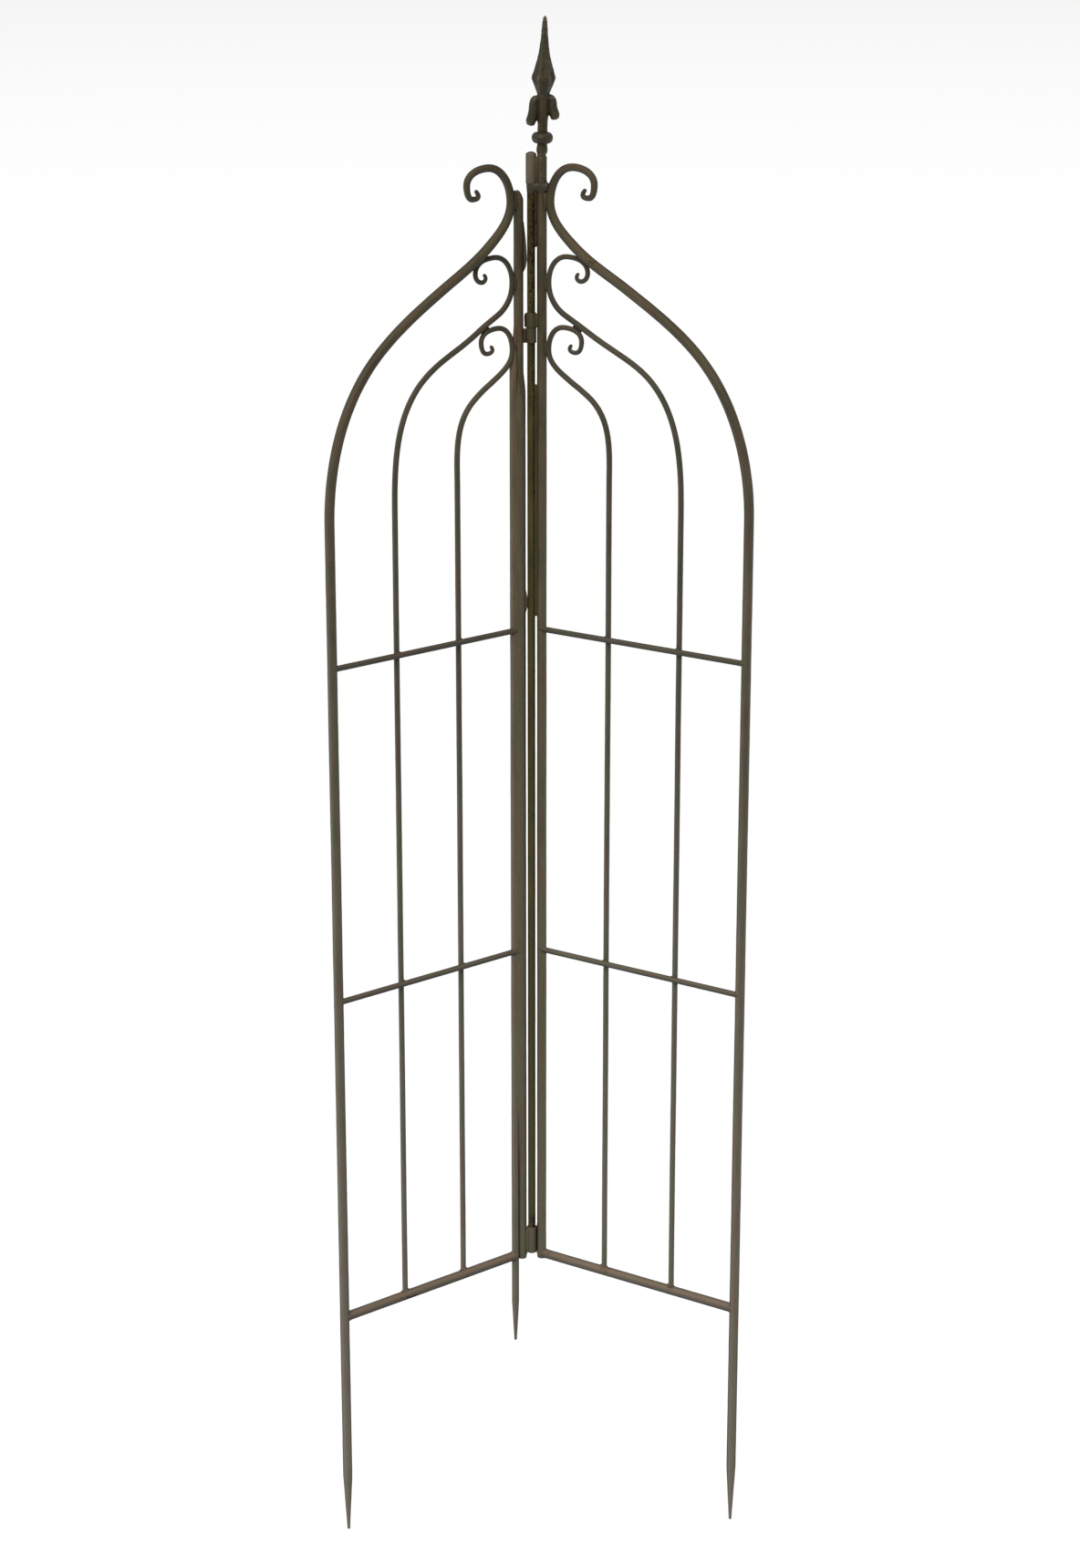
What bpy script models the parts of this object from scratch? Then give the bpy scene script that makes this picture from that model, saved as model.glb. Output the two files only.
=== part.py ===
"""A folding two-panel trellis for climbing plants, in metres and degrees, +Z up.

Each panel is a hinge post, an outer bar, two thin uprights and three crossbars, all of round
stock.  The bars end in scrolls that curl out from the post.  A long pin joins the panels: it is
fixed to the right one and turns in a ring and a barrel on the left one.  A cast spear finial
stands on the right post.

The origin is on the hinge axis at soil level.  Each panel is built in the frame of an empty on
that axis: local X runs from the axis along the panel, and the back of the panel is local +Y on
the right and -Y on the left.  Heights are measured up from the tips of the two long spikes.
"""
import math

import bmesh
import bpy
from mathutils import Vector

# The stand of the whole trellis.
SOIL_DEPTH = 0.180
OPENING_ANGLE = 106.0
LEFT_WIDTH = 0.2449
RIGHT_WIDTH = 0.2471

# Round stock, by diameter.
OUTER_STOCK = 0.010
POST_STOCK = 0.010
BOTTOM_STOCK = 0.010
LEG_STOCK = 0.008
UPRIGHT_STOCK = 0.006
CROSSBAR_STOCK = 0.006
PIN_STOCK = 0.008
SPIKE_TIP = 0.003

# Clearances.
CLEAR = 0.0003
FOLD_GAP = 0.0004
SCROLL_GAP = 0.0008

# Heights above the tips of the long spikes.
LEG_TIP_Z = 0.144
SPIKE_TAPER = 0.062
LEG_TAPER = 0.046
BOTTOM_CROSSBAR_Z = 0.2432
MIDDLE_CROSSBAR_Z = 0.588
TOP_CROSSBAR_Z = 0.930
LEFT_POST_TOP_Z = 1.367
RIGHT_POST_TOP_Z = 1.400
OUTER_BEND_Z = 1.070
MIDDLE_BEND_Z = 1.065
INNER_BEND_Z = 1.085
OUTER_NECK_Z = 1.316
MIDDLE_NECK_Z = 1.248

# The left post is set away from the hinge above the leg, and its top is rounded over.
POST_SET = 0.0025
POST_SET_Z = 1.168
POST_SET_RISE = 0.025
LEG_TOP_Z = 1.192
POST_CHAMFER = 0.0015
POST_DOME = 0.0040

# Thin uprights, from the hinge axis.
LEFT_MIDDLE_S = 0.1634
LEFT_INNER_S = 0.0861
RIGHT_MIDDLE_S = 0.1683
RIGHT_INNER_S = 0.0856

# Hinge.
PIN_CLEAR = 0.0003
SLEEVE_WALL = 0.0009
RING_SPLIT_Z = 1.2332
RING_HEIGHT = 0.0147
BARREL_FOOT_Z = 0.2430
BARREL_HEIGHT = 0.0306
SLEEVE_FOOT_Z = 1.3730
SLEEVE_HEIGHT = 0.0305
SLEEVE_DOME = 0.0028
SLEEVE_BORE_DEPTH = 0.0230
PIN_FOOT_RISE = 0.0010
LUG_WIDTH = 0.0034
LUG_HEIGHT = 0.0120

# Finial, above the top of the right post.
FINIAL_LEAN = 1.3
STEM_FOOT_RADIUS = 0.0040
STEM_BULGE_RADIUS = 0.0056
STEM_RADIUS = 0.0050
COLLAR_RADIUS = 0.0104
COLLAR_Z = 0.0110
COLLAR_HEIGHT = 0.0106
LOBE_RADIUS = 0.0050
LOBE_TOP_Z = 0.0545
LOBE_END_Z = 0.0432
LOBE_OUT = 0.0119
LEFT_LOBE_DROP = 0.0060
NECK_Z = 0.0579
NECK_RADIUS = 0.0062
SHOULDER_Z = 0.0738
SHOULDER_RADIUS = 0.0118
SPEAR_TIP_Z = 0.1313

# Measures that follow from the ones above.
OUTER_R = OUTER_STOCK / 2
POST_R = POST_STOCK / 2
BOTTOM_R = BOTTOM_STOCK / 2
LEG_R = LEG_STOCK / 2
UPRIGHT_R = UPRIGHT_STOCK / 2
CROSSBAR_R = CROSSBAR_STOCK / 2
PIN_R = PIN_STOCK / 2
TIP_SHARE = SPIKE_TIP / OUTER_STOCK
BORE_R = PIN_R + PIN_CLEAR
SLEEVE_R = BORE_R + SLEEVE_WALL

# Depth of each kind of bar behind the plane in which the two panels fold together.
OUTER_N = FOLD_GAP / 2 + OUTER_R
POST_N = FOLD_GAP / 2 + POST_R
BOTTOM_N = FOLD_GAP / 2 + BOTTOM_R
CROSSBAR_N = FOLD_GAP / 2 + CROSSBAR_R
UPRIGHT_N = CROSSBAR_N + CROSSBAR_R + CLEAR + UPRIGHT_R

# The posts stand just clear of the rings, and the leg just clear of its post.
POST_S = math.sqrt((SLEEVE_R + CLEAR + POST_R) ** 2 - POST_N ** 2)
LEG_S = POST_S + POST_R + CLEAR + LEG_R
POST_FOOT_Z = BOTTOM_CROSSBAR_Z - BOTTOM_R
UPRIGHT_FOOT_Z = BOTTOM_CROSSBAR_Z + BOTTOM_R + CLEAR

UP = 90.0
DOWN = -90.0
OUTWARD = 0.0
INWARD = 180.0

# A scroll from the side next to the post: distance out, height, heading, share of the stock.
OUTER_SCROLL = (
    (0.0000, 1.3560, UP, 0.86),
    (0.0272, 1.3911, OUTWARD, 0.78),
    (0.0507, 1.3756, DOWN, 0.70),
    (0.0437, 1.3628, INWARD, 0.58),
    (0.0376, 1.3655, UP, 0.50),
    (0.0400, 1.3700, 45.0, 0.42),
)
LEFT_SPREAD = 1.07
RIGHT_SPREAD = 1.00
# The two smaller scrolls give heights from the top of their loop.
MIDDLE_SCROLL = (
    (0.0000, -0.0265, UP, 0.93),
    (0.0196, 0.0000, OUTWARD, 0.90),
    (0.0423, -0.0142, DOWN, 0.87),
    (0.0340, -0.0230, INWARD, 0.80),
    (0.0298, -0.0192, UP, 0.70),
    (0.0312, -0.0162, 45.0, 0.63),
)
INNER_SCROLL = (
    (0.0000, -0.0232, UP, 0.93),
    (0.0161, 0.0000, OUTWARD, 0.90),
    (0.0356, -0.0127, DOWN, 0.87),
    (0.0284, -0.0239, INWARD, 0.80),
    (0.0226, -0.0204, UP, 0.70),
    (0.0241, -0.0174, 45.0, 0.63),
)
# Where each bar passes below the scroll above it: distance out from the post, and slope.
OUTER_NECK_OUT = 0.0367
OUTER_NECK_SLOPE = 40.0
MIDDLE_NECK_OUT = 0.0248
MIDDLE_NECK_SLOPE = 32.0
INNER_SCROLL_GAP = 0.0046
INNER_NECK_OUT = 0.0329
INNER_NECK_DROP = 0.0534
# The thin uprights lean forward to their post over this stretch, from the post outward.
LEAN_START = 0.0100
LEAN_END = 0.0400


def clear_scene():
    for thing in list(bpy.data.objects):
        bpy.data.objects.remove(thing, do_unlink=True)


def metal(name, color, metallic, roughness):
    made = bpy.data.materials.new(name)
    made.use_nodes = True
    shader = made.node_tree.nodes["Principled BSDF"]
    shader.inputs["Base Color"].default_value = (*color, 1.0)
    shader.inputs["Metallic"].default_value = metallic
    shader.inputs["Roughness"].default_value = roughness
    return made


def add_object(name, data, parent, location=(0.0, 0.0, 0.0), rotation=0.0):
    thing = bpy.data.objects.new(name, data)
    bpy.context.scene.collection.objects.link(thing)
    thing.parent = parent
    thing.location = location
    thing.rotation_euler = (0.0, 0.0, math.radians(rotation))
    return thing


def add_part(name, mesh, parent, location=(0.0, 0.0, 0.0), rotation=0.0, look=("dark", 0.62)):
    colors = {
        "dark": (0.085, 0.066, 0.047),
        "olive": (0.098, 0.083, 0.058),
        "pale": (0.145, 0.122, 0.094),
        "rust": (0.062, 0.030, 0.018),
    }
    mesh.materials.clear()
    mesh.materials.append(metal(name + "_metal", colors[look[0]], 0.55, look[1]))
    mesh.shade_smooth()
    mesh.set_sharp_from_angle(angle=math.radians(40.0))
    return add_object(name, mesh, parent, location, rotation)


def close_up(shape, name):
    """Merge meeting points, turn the faces outward and keep the shape as a mesh."""
    bmesh.ops.remove_doubles(shape, verts=shape.verts, dist=0.00001)
    bmesh.ops.recalc_face_normals(shape, faces=shape.faces)
    mesh = bpy.data.meshes.new(name)
    shape.to_mesh(mesh)
    shape.free()
    return mesh


def swept_bar(name, knots, radius, sides=12, steps=5, depth_at=None):
    """A round bar along XZ through knots of (x, z, heading, share of the radius).

    depth_at gives the bar's Y for each X, for a bar that leaves the plane.
    """
    curve = bpy.data.curves.new(name, "CURVE")
    curve.dimensions = "3D"
    curve.bevel_depth = radius
    curve.bevel_resolution = sides // 2 - 2
    curve.resolution_u = steps
    curve.use_fill_caps = True
    spline = curve.splines.new("BEZIER")
    spline.bezier_points.add(len(knots) - 1)
    for point, (x, z, heading, share) in zip(spline.bezier_points, knots):
        point.co = (x, 0.0, z)
        point.radius = share
        point.handle_left_type = "FREE"
        point.handle_right_type = "FREE"
        point.handle_left = point.co
        point.handle_right = point.co
    for i in range(len(knots) - 1):
        start, end = spline.bezier_points[i], spline.bezier_points[i + 1]
        turn = abs((knots[i + 1][2] - knots[i][2] + 180.0) % 360.0 - 180.0)
        half = math.radians(max(turn, 0.01)) / 2
        reach = (end.co - start.co).length * (2.0 / 3.0) * math.tan(half / 2) / math.sin(half)
        start.handle_right = start.co + reach * pointing(knots[i][2])
        end.handle_left = end.co - reach * pointing(knots[i + 1][2])
    if depth_at:
        for point in spline.bezier_points:
            point.co.y = depth_at(point.co.x)
            point.handle_left.y = depth_at(point.handle_left.x)
            point.handle_right.y = depth_at(point.handle_right.x)
    guide = bpy.data.objects.new(name, curve)
    bpy.context.scene.collection.objects.link(guide)
    bpy.context.view_layer.update()
    raw = bpy.data.meshes.new_from_object(guide.evaluated_get(bpy.context.evaluated_depsgraph_get()))
    bpy.data.objects.remove(guide, do_unlink=True)
    shape = bmesh.new()
    shape.from_mesh(raw)
    return close_up(shape, name)


def pointing(heading):
    turn = math.radians(heading)
    return Vector((math.cos(turn), 0.0, math.sin(turn)))


def turned(name, profile, steps=16):
    """A closed solid of revolution about Z from an open profile of (radius, height)."""
    shape = bmesh.new()
    points = [shape.verts.new((radius, 0.0, height)) for radius, height in profile]
    edges = [shape.edges.new(pair) for pair in zip(points, points[1:])]
    bmesh.ops.spin(
        shape, geom=points + edges, cent=(0.0, 0.0, 0.0), axis=(0.0, 0.0, 1.0),
        angle=2 * math.pi, steps=steps, use_merge=True,
    )
    return close_up(shape, name)


def tube_profile(outer, bore, foot, top):
    edge = 0.0004
    return (
        (bore, foot), (outer - edge, foot), (outer, foot + edge),
        (outer, top - edge), (outer - edge, top), (bore, top), (bore, foot),
    )


def level_bar(name, radius, start, end, sides=12):
    """A round bar along X from start to end, at the height and depth of its object."""
    shape = bmesh.new()
    bmesh.ops.create_cone(
        shape, cap_ends=True, segments=sides, radius1=radius, radius2=radius, depth=end - start,
    )
    for vert in shape.verts:
        vert.co = (vert.co.z + (start + end) / 2, vert.co.x, vert.co.y)
    return close_up(shape, name)


def cut(target, cutter, operation="DIFFERENCE"):
    """Cut or join one object with another, keep the result as a mesh and drop the other."""
    change = target.modifiers.new("cut", "BOOLEAN")
    change.operation = operation
    change.solver = "EXACT"
    change.object = cutter
    bpy.context.view_layer.update()
    depsgraph = bpy.context.evaluated_depsgraph_get()
    result = bpy.data.meshes.new_from_object(target.evaluated_get(depsgraph))
    target.modifiers.clear()
    target.data = result
    bpy.data.objects.remove(cutter, do_unlink=True)


def upright_room(radius, height, reach):
    """The space that an upright bar needs, to hollow the end of a level bar that meets it."""
    foot, top = height - 2 * reach, height + 2 * reach
    wide = (radius + CLEAR) / math.cos(math.pi / 24)
    return turned("room", ((0.0, foot), (wide, foot), (wide, top), (0.0, top)), 24)


def round_bar_knots(x, foot, top, chamfer=0.0, radius=1.0):
    knots = [(x, foot, UP, 1.0), (x, top - chamfer, UP, 1.0)]
    if chamfer:
        knots.append((x, top, UP, 1.0 - chamfer / radius))
    return knots


def near_side(bar_radius, bar_depth):
    reach = POST_R + bar_radius + CLEAR
    return math.sqrt(max(reach ** 2 - (bar_depth - POST_N) ** 2, 0.0))


def between(start, end, share):
    return start + share * (end - start)


def outer_knots(post, width, spread):
    near = near_side(OUTER_SCROLL[0][3] * OUTER_R, OUTER_N)
    knots = [
        (width, 0.0, UP, TIP_SHARE),
        (width, SPIKE_TAPER, UP, 1.0),
        (width, OUTER_BEND_Z, UP, 1.0),
        (between(post, width, 0.762), between(OUTER_BEND_Z, OUTER_NECK_Z, 0.614), 135.0, 1.0),
        (between(post, width, 0.418), between(OUTER_BEND_Z, OUTER_NECK_Z, 0.846), 149.7, 1.0),
        (post + OUTER_NECK_OUT, OUTER_NECK_Z, 180.0 - OUTER_NECK_SLOPE, 1.0),
    ]
    return knots + [(post + near + spread * out, *rest) for out, *rest in OUTER_SCROLL]


def lean(post, side):
    """Depth of a thin upright, from its place behind the crossbars, at each distance out."""
    def depth_at(out):
        share = (out - post - LEAN_START) / (LEAN_END - LEAN_START)
        return side * (POST_N - UPRIGHT_N) * (1.0 - min(max(share, 0.0), 1.0))
    return depth_at


def middle_knots(post, place):
    near = near_side(MIDDLE_SCROLL[0][3] * UPRIGHT_R, POST_N)
    loop_top = OUTER_NECK_Z - (OUTER_R + UPRIGHT_R + SCROLL_GAP) / math.cos(
        math.radians(OUTER_NECK_SLOPE))
    knots = [
        (place, UPRIGHT_FOOT_Z, UP, 1.0),
        (place, MIDDLE_BEND_Z, UP, 1.0),
        (between(post, place, 0.778), between(MIDDLE_BEND_Z, MIDDLE_NECK_Z, 0.694), 136.5, 1.0),
        (between(post, place, 0.478), between(MIDDLE_BEND_Z, MIDDLE_NECK_Z, 0.847), 154.5, 1.0),
        (post + MIDDLE_NECK_OUT, MIDDLE_NECK_Z, 180.0 - MIDDLE_NECK_SLOPE, 1.0),
    ]
    return knots + [(post + near + out, loop_top + z, *rest) for out, z, *rest in MIDDLE_SCROLL]


def inner_knots(post, place):
    near = near_side(INNER_SCROLL[0][3] * UPRIGHT_R, POST_N)
    loop_top = MIDDLE_NECK_Z - (2 * UPRIGHT_R + INNER_SCROLL_GAP) / math.cos(
        math.radians(MIDDLE_NECK_SLOPE))
    neck_z = loop_top - INNER_NECK_DROP
    knots = [
        (place, UPRIGHT_FOOT_Z, UP, 1.0),
        (place, INNER_BEND_Z, UP, 1.0),
        (between(post, place, 0.785), between(INNER_BEND_Z, neck_z, 0.800), 134.0, 1.0),
        (post + INNER_NECK_OUT, neck_z, 144.0, 1.0),
    ]
    return knots + [(post + near + out, loop_top + z, *rest) for out, z, *rest in INNER_SCROLL]


def add_bars(prefix, axis, side, post, places, spread, hinge_bar):
    """The bars that both panels have, outward from the bar that the crossbars start on."""
    width, middle, inner = places
    outer = swept_bar(prefix + "_outer_bar", outer_knots(post, width, spread), OUTER_R, sides=16)
    add_part(prefix + "_outer_bar", outer, axis, (0.0, side * OUTER_N, 0.0))
    for label, knots in (
        ("middle", middle_knots(post, middle)),
        ("inner", inner_knots(post, inner)),
    ):
        name = f"{prefix}_{label}_bar"
        bar = swept_bar(name, knots, UPRIGHT_R, depth_at=lean(post, side))
        add_part(name, bar, axis, (0.0, side * UPRIGHT_N, 0.0))
    ends = (hinge_bar, (width, OUTER_N, OUTER_R))
    for label, radius, depth, height, sides, look in (
        ("top", CROSSBAR_R, CROSSBAR_N, TOP_CROSSBAR_Z, 12, "dark"),
        ("middle", CROSSBAR_R, CROSSBAR_N, MIDDLE_CROSSBAR_Z, 12, "dark"),
        ("bottom", BOTTOM_R, BOTTOM_N, BOTTOM_CROSSBAR_Z, 16, "pale"),
    ):
        name = f"{prefix}_{label}_crossbar"
        bar = level_bar(name, radius, hinge_bar[0], width, sides)
        bar = add_part(name, bar, axis, (0.0, side * depth, height), look=(look, 0.62))
        for place, upright_depth, upright_radius in ends:
            room = upright_room(upright_radius, height, radius)
            cut(bar, add_object("room", room, axis, (place, side * upright_depth, 0.0)))


def left_post_knots():
    set_over = POST_S + POST_SET
    set_top = POST_SET_Z + POST_SET_RISE
    return [
        (POST_S, POST_FOOT_Z, UP, 1.0),
        (POST_S, POST_SET_Z, UP, 1.0),
        (set_over, set_top, UP, 1.0),
        (set_over, LEFT_POST_TOP_Z - POST_DOME, UP, 1.0),
        (set_over, LEFT_POST_TOP_Z - POST_DOME * 0.55, UP, 0.90),
        (set_over, LEFT_POST_TOP_Z - POST_DOME * 0.20, UP, 0.62),
        (set_over, LEFT_POST_TOP_Z, UP, 0.35),
    ]


def add_left_post_and_leg(axis):
    back = (0.0, -POST_N, 0.0)
    post = swept_bar("left_post", left_post_knots(), POST_R, sides=16)
    add_part("left_post", post, axis, back, look=("olive", 0.6))
    leg_knots = [
        (LEG_S, LEG_TIP_Z, UP, SPIKE_TIP / LEG_STOCK),
        (LEG_S, LEG_TIP_Z + LEG_TAPER, UP, 1.0),
        (LEG_S, LEG_TOP_Z - POST_CHAMFER, UP, 1.0),
        (LEG_S, LEG_TOP_Z, UP, 1.0 - POST_CHAMFER / LEG_R),
    ]
    leg = add_part("centre_leg", swept_bar("centre_leg", leg_knots, LEG_R, 12), axis, back)
    room = swept_bar("post_room", left_post_knots(), POST_R + CLEAR, sides=16)
    cut(leg, add_object("post_room", room, axis, back))


def add_left_hinge(axis):
    barrel = turned("hinge_barrel", tube_profile(
        SLEEVE_R, BORE_R, BARREL_FOOT_Z, BARREL_FOOT_Z + BARREL_HEIGHT))
    add_part("hinge_barrel", barrel, axis, look=("pale", 0.6))
    ring_top = RING_SPLIT_Z - CLEAR / 2
    ring_foot = RING_SPLIT_Z - RING_HEIGHT
    ring = add_part("left_ring", turned("left_ring", (
        (0.0, ring_foot), (SLEEVE_R, ring_foot), (SLEEVE_R, ring_top), (0.0, ring_top))),
        axis, look=("rust", 0.75))
    post_at = Vector((POST_S + POST_SET, -POST_N, (ring_foot + ring_top) / 2))
    lug = bmesh.new()
    bmesh.ops.create_cube(lug, size=1.0)
    span = math.hypot(post_at.x, post_at.y)
    bmesh.ops.scale(lug, vec=(span, LUG_WIDTH, LUG_HEIGHT), verts=lug.verts)
    bmesh.ops.translate(lug, vec=(span / 2, 0.0, 0.0), verts=lug.verts)
    aim = math.degrees(math.atan2(post_at.y, post_at.x))
    lug = add_object("lug", close_up(lug, "lug"), axis, (0.0, 0.0, post_at.z), aim)
    cut(ring, lug, "UNION")
    for name, radius, x, y in (
        ("bore_room", BORE_R, 0.0, 0.0),
        ("post_room", POST_R + CLEAR, post_at.x, post_at.y),
    ):
        room = turned(name, (
            (0.0, ring_foot - 0.01), (radius, ring_foot - 0.01),
            (radius, ring_top + 0.01), (0.0, ring_top + 0.01)), 24)
        cut(ring, add_object(name, room, axis, (x, y, 0.0)))


def add_right_hinge(axis):
    ring = turned("right_ring", tube_profile(
        SLEEVE_R, BORE_R, RING_SPLIT_Z + CLEAR / 2, RING_SPLIT_Z + RING_HEIGHT))
    add_part("right_ring", ring, axis, look=("rust", 0.75))
    top = SLEEVE_FOOT_Z + SLEEVE_HEIGHT
    ceiling = SLEEVE_FOOT_Z + SLEEVE_BORE_DEPTH
    sleeve = turned("top_sleeve", (
        (0.0, ceiling), (BORE_R, ceiling), (BORE_R, SLEEVE_FOOT_Z), (SLEEVE_R, SLEEVE_FOOT_Z),
        (SLEEVE_R, top - SLEEVE_DOME), (SLEEVE_R * 0.93, top - SLEEVE_DOME * 0.48),
        (SLEEVE_R * 0.70, top - SLEEVE_DOME * 0.14), (0.0, top)))
    add_part("top_sleeve", sleeve, axis, look=("olive", 0.6))
    pin_foot = BARREL_FOOT_Z + PIN_FOOT_RISE
    pin = turned("hinge_pin", (
        (0.0, pin_foot), (PIN_R, pin_foot), (PIN_R, ceiling - CLEAR), (0.0, ceiling - CLEAR)))
    add_part("hinge_pin", pin, axis, look=("rust", 0.8))


def lobe_knots(side, drop):
    """One drooping lobe, from inside the stem out and down to a round club end."""
    end = LOBE_END_Z - drop - LOBE_RADIUS
    out = side * LOBE_OUT
    return [
        (out * 0.08, LOBE_TOP_Z, UP + side * -40.0, 0.55),
        (out * 0.52, LOBE_TOP_Z - drop / 6 - LOBE_RADIUS * 0.20, OUTWARD if side > 0 else INWARD, 0.80),
        (out * 0.76, LOBE_TOP_Z - drop / 3 - LOBE_RADIUS * 1.50, DOWN, 0.94),
        (out * 0.94, end, DOWN + side * 15.0, 1.02),
        (out * 0.98, end - LOBE_RADIUS * 0.60, DOWN + side * 10.0, 0.84),
        (out, end - LOBE_RADIUS * 0.96, DOWN + side * 10.0, 0.40),
    ]


def add_finial(axis):
    foot = RIGHT_POST_TOP_Z + CLEAR + STEM_FOOT_RADIUS * math.sin(math.radians(FINIAL_LEAN))
    seat = add_object("finial_seat", None, axis, (POST_S, POST_N, foot))
    half = math.radians(OPENING_ANGLE / 2)
    seat.rotation_euler = (0.0, math.radians(FINIAL_LEAN), math.pi / 2 - half)
    spear = turned("finial", (
        (0.0, between(NECK_Z, COLLAR_Z, 0.213)), (NECK_RADIUS * 0.8, between(NECK_Z, COLLAR_Z, 0.213)),
        (NECK_RADIUS, NECK_Z), (SHOULDER_RADIUS, between(SHOULDER_Z, NECK_Z, 0.126)),
        (SHOULDER_RADIUS, SHOULDER_Z),
        (SHOULDER_RADIUS * 0.58, between(SHOULDER_Z, SPEAR_TIP_Z, 0.275)),
        (SHOULDER_RADIUS * 0.37, between(SHOULDER_Z, SPEAR_TIP_Z, 0.518)),
        (SHOULDER_RADIUS * 0.26, between(SHOULDER_Z, SPEAR_TIP_Z, 0.824)),
        (SHOULDER_RADIUS * 0.14, between(SHOULDER_Z, SPEAR_TIP_Z, 0.948)),
        (0.0, SPEAR_TIP_Z)), 6)
    finial = add_part("finial", spear, seat, look=("olive", 0.62))
    stem_profile = (
        (0.0, 0.0), (STEM_FOOT_RADIUS, 0.0), (STEM_BULGE_RADIUS * 0.94, COLLAR_Z * 0.255),
        (STEM_BULGE_RADIUS, COLLAR_Z * 0.545), (STEM_RADIUS, COLLAR_Z - 0.0012),
        (STEM_RADIUS, between(COLLAR_Z, NECK_Z, 0.405)),
        (STEM_RADIUS * 1.15, between(COLLAR_Z, NECK_Z, 0.618)),
        (NECK_RADIUS * 0.96, between(COLLAR_Z, NECK_Z, 0.957)),
        (0.0, between(NECK_Z, SHOULDER_Z, 0.377)))
    cut(finial, add_object("stem", turned("stem", stem_profile), seat), "UNION")
    for name, side, drop in (("left_lobe", -1, LEFT_LOBE_DROP), ("right_lobe", 1, 0.0)):
        lobe = swept_bar(name, lobe_knots(side, drop), LOBE_RADIUS, 12, 3)
        cut(finial, add_object(name, lobe, seat), "UNION")
    rim = COLLAR_HEIGHT / 2
    collar_profile = [(STEM_RADIUS + CLEAR, COLLAR_Z), (STEM_RADIUS + CLEAR, COLLAR_Z + COLLAR_HEIGHT)]
    for step in range(7):
        turn = math.radians(75.0 - 25.0 * step)
        collar_profile.append((
            COLLAR_RADIUS - rim * 0.72 * (1 - math.cos(turn)), COLLAR_Z + rim * (1 + math.sin(turn))))
    collar_profile.append(collar_profile[0])
    add_part("finial_collar", turned("finial_collar", collar_profile, 20), seat, look=("olive", 0.6))


def main():
    clear_scene()
    half = OPENING_ANGLE / 2
    left = add_object("left_panel_axis", None, None, (0.0, 0.0, -SOIL_DEPTH), 270.0 - half)
    right = add_object("right_panel_axis", None, None, (0.0, 0.0, -SOIL_DEPTH), 270.0 + half)

    left_upper = POST_S + POST_SET
    left_places = (LEFT_WIDTH, LEFT_MIDDLE_S, LEFT_INNER_S)
    add_bars("left", left, -1, left_upper, left_places, LEFT_SPREAD, (LEG_S, POST_N, LEG_R))
    add_left_post_and_leg(left)
    add_left_hinge(left)

    right_places = (RIGHT_WIDTH, RIGHT_MIDDLE_S, RIGHT_INNER_S)
    add_bars("right", right, 1, POST_S, right_places, RIGHT_SPREAD, (POST_S, POST_N, POST_R))
    post_knots = round_bar_knots(0.0, POST_FOOT_Z, RIGHT_POST_TOP_Z, POST_CHAMFER, POST_R)
    post = swept_bar("right_post", post_knots, POST_R, sides=16)
    add_part("right_post", post, right, (POST_S, POST_N, 0.0), look=("olive", 0.6))
    add_right_hinge(right)
    add_finial(right)


main()
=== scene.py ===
# %% [markdown]
# # A folding garden trellis in old painted iron
# The object is a corner trellis: two panels of round bar on one long hinge pin, with scrolls at
# the top, spikes at the foot and a cast spear on one post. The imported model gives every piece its
# real place and size. This script gives the pieces their finish: hand-forged bars, weld beads,
# rust, old paint and dust. Everything is in metres, and +Z is up.

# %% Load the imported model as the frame
import math

import bmesh
import bpy
import numpy as np
from mathutils import Matrix, Vector


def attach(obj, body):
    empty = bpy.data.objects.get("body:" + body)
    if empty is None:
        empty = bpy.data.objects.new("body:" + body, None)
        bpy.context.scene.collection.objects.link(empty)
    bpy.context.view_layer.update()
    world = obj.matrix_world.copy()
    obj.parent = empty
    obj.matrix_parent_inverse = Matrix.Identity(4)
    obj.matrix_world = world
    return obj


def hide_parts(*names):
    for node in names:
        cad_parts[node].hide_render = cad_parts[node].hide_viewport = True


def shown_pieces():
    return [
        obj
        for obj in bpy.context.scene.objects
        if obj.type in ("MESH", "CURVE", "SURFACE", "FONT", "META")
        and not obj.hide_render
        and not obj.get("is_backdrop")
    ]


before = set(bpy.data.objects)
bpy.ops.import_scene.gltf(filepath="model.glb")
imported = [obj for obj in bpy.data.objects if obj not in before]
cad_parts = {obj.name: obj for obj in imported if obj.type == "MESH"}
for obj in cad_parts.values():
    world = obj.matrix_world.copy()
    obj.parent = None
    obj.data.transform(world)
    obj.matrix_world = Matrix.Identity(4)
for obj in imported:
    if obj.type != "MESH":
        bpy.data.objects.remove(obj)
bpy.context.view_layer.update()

# %% [markdown]
# ## Camera
# The trellis is seen from inside its corner and from above eye height, so the posts are straight
# but the crossbars fall away to both sides. The place, the tilt and the lens come from a fit of
# the panels' joints to the photograph, so the camera is written as numbers and not aimed by hand.

# %% Camera
photo_lens = bpy.data.cameras.new("photo_camera")
photo_lens.sensor_width = 24.0
photo_lens.lens = 51.4
photo_lens.clip_end = 200.0
camera = bpy.data.objects.new("photo_camera", photo_lens)
camera.location = (-0.1649, -3.2574, 1.6146)
camera.rotation_euler = (math.radians(72.495), 0.0, math.radians(-3.05))
bpy.context.scene.collection.objects.link(camera)
bpy.context.scene.camera = camera
print("camera", tuple(camera.location), "lens", photo_lens.lens)

# %% [markdown]
# ## Node helpers
# Every tree below is built by code. One small helper adds a node, sets its options and fills its
# inputs, either with a value or with another node's output, so a tree reads from top to bottom.

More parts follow.
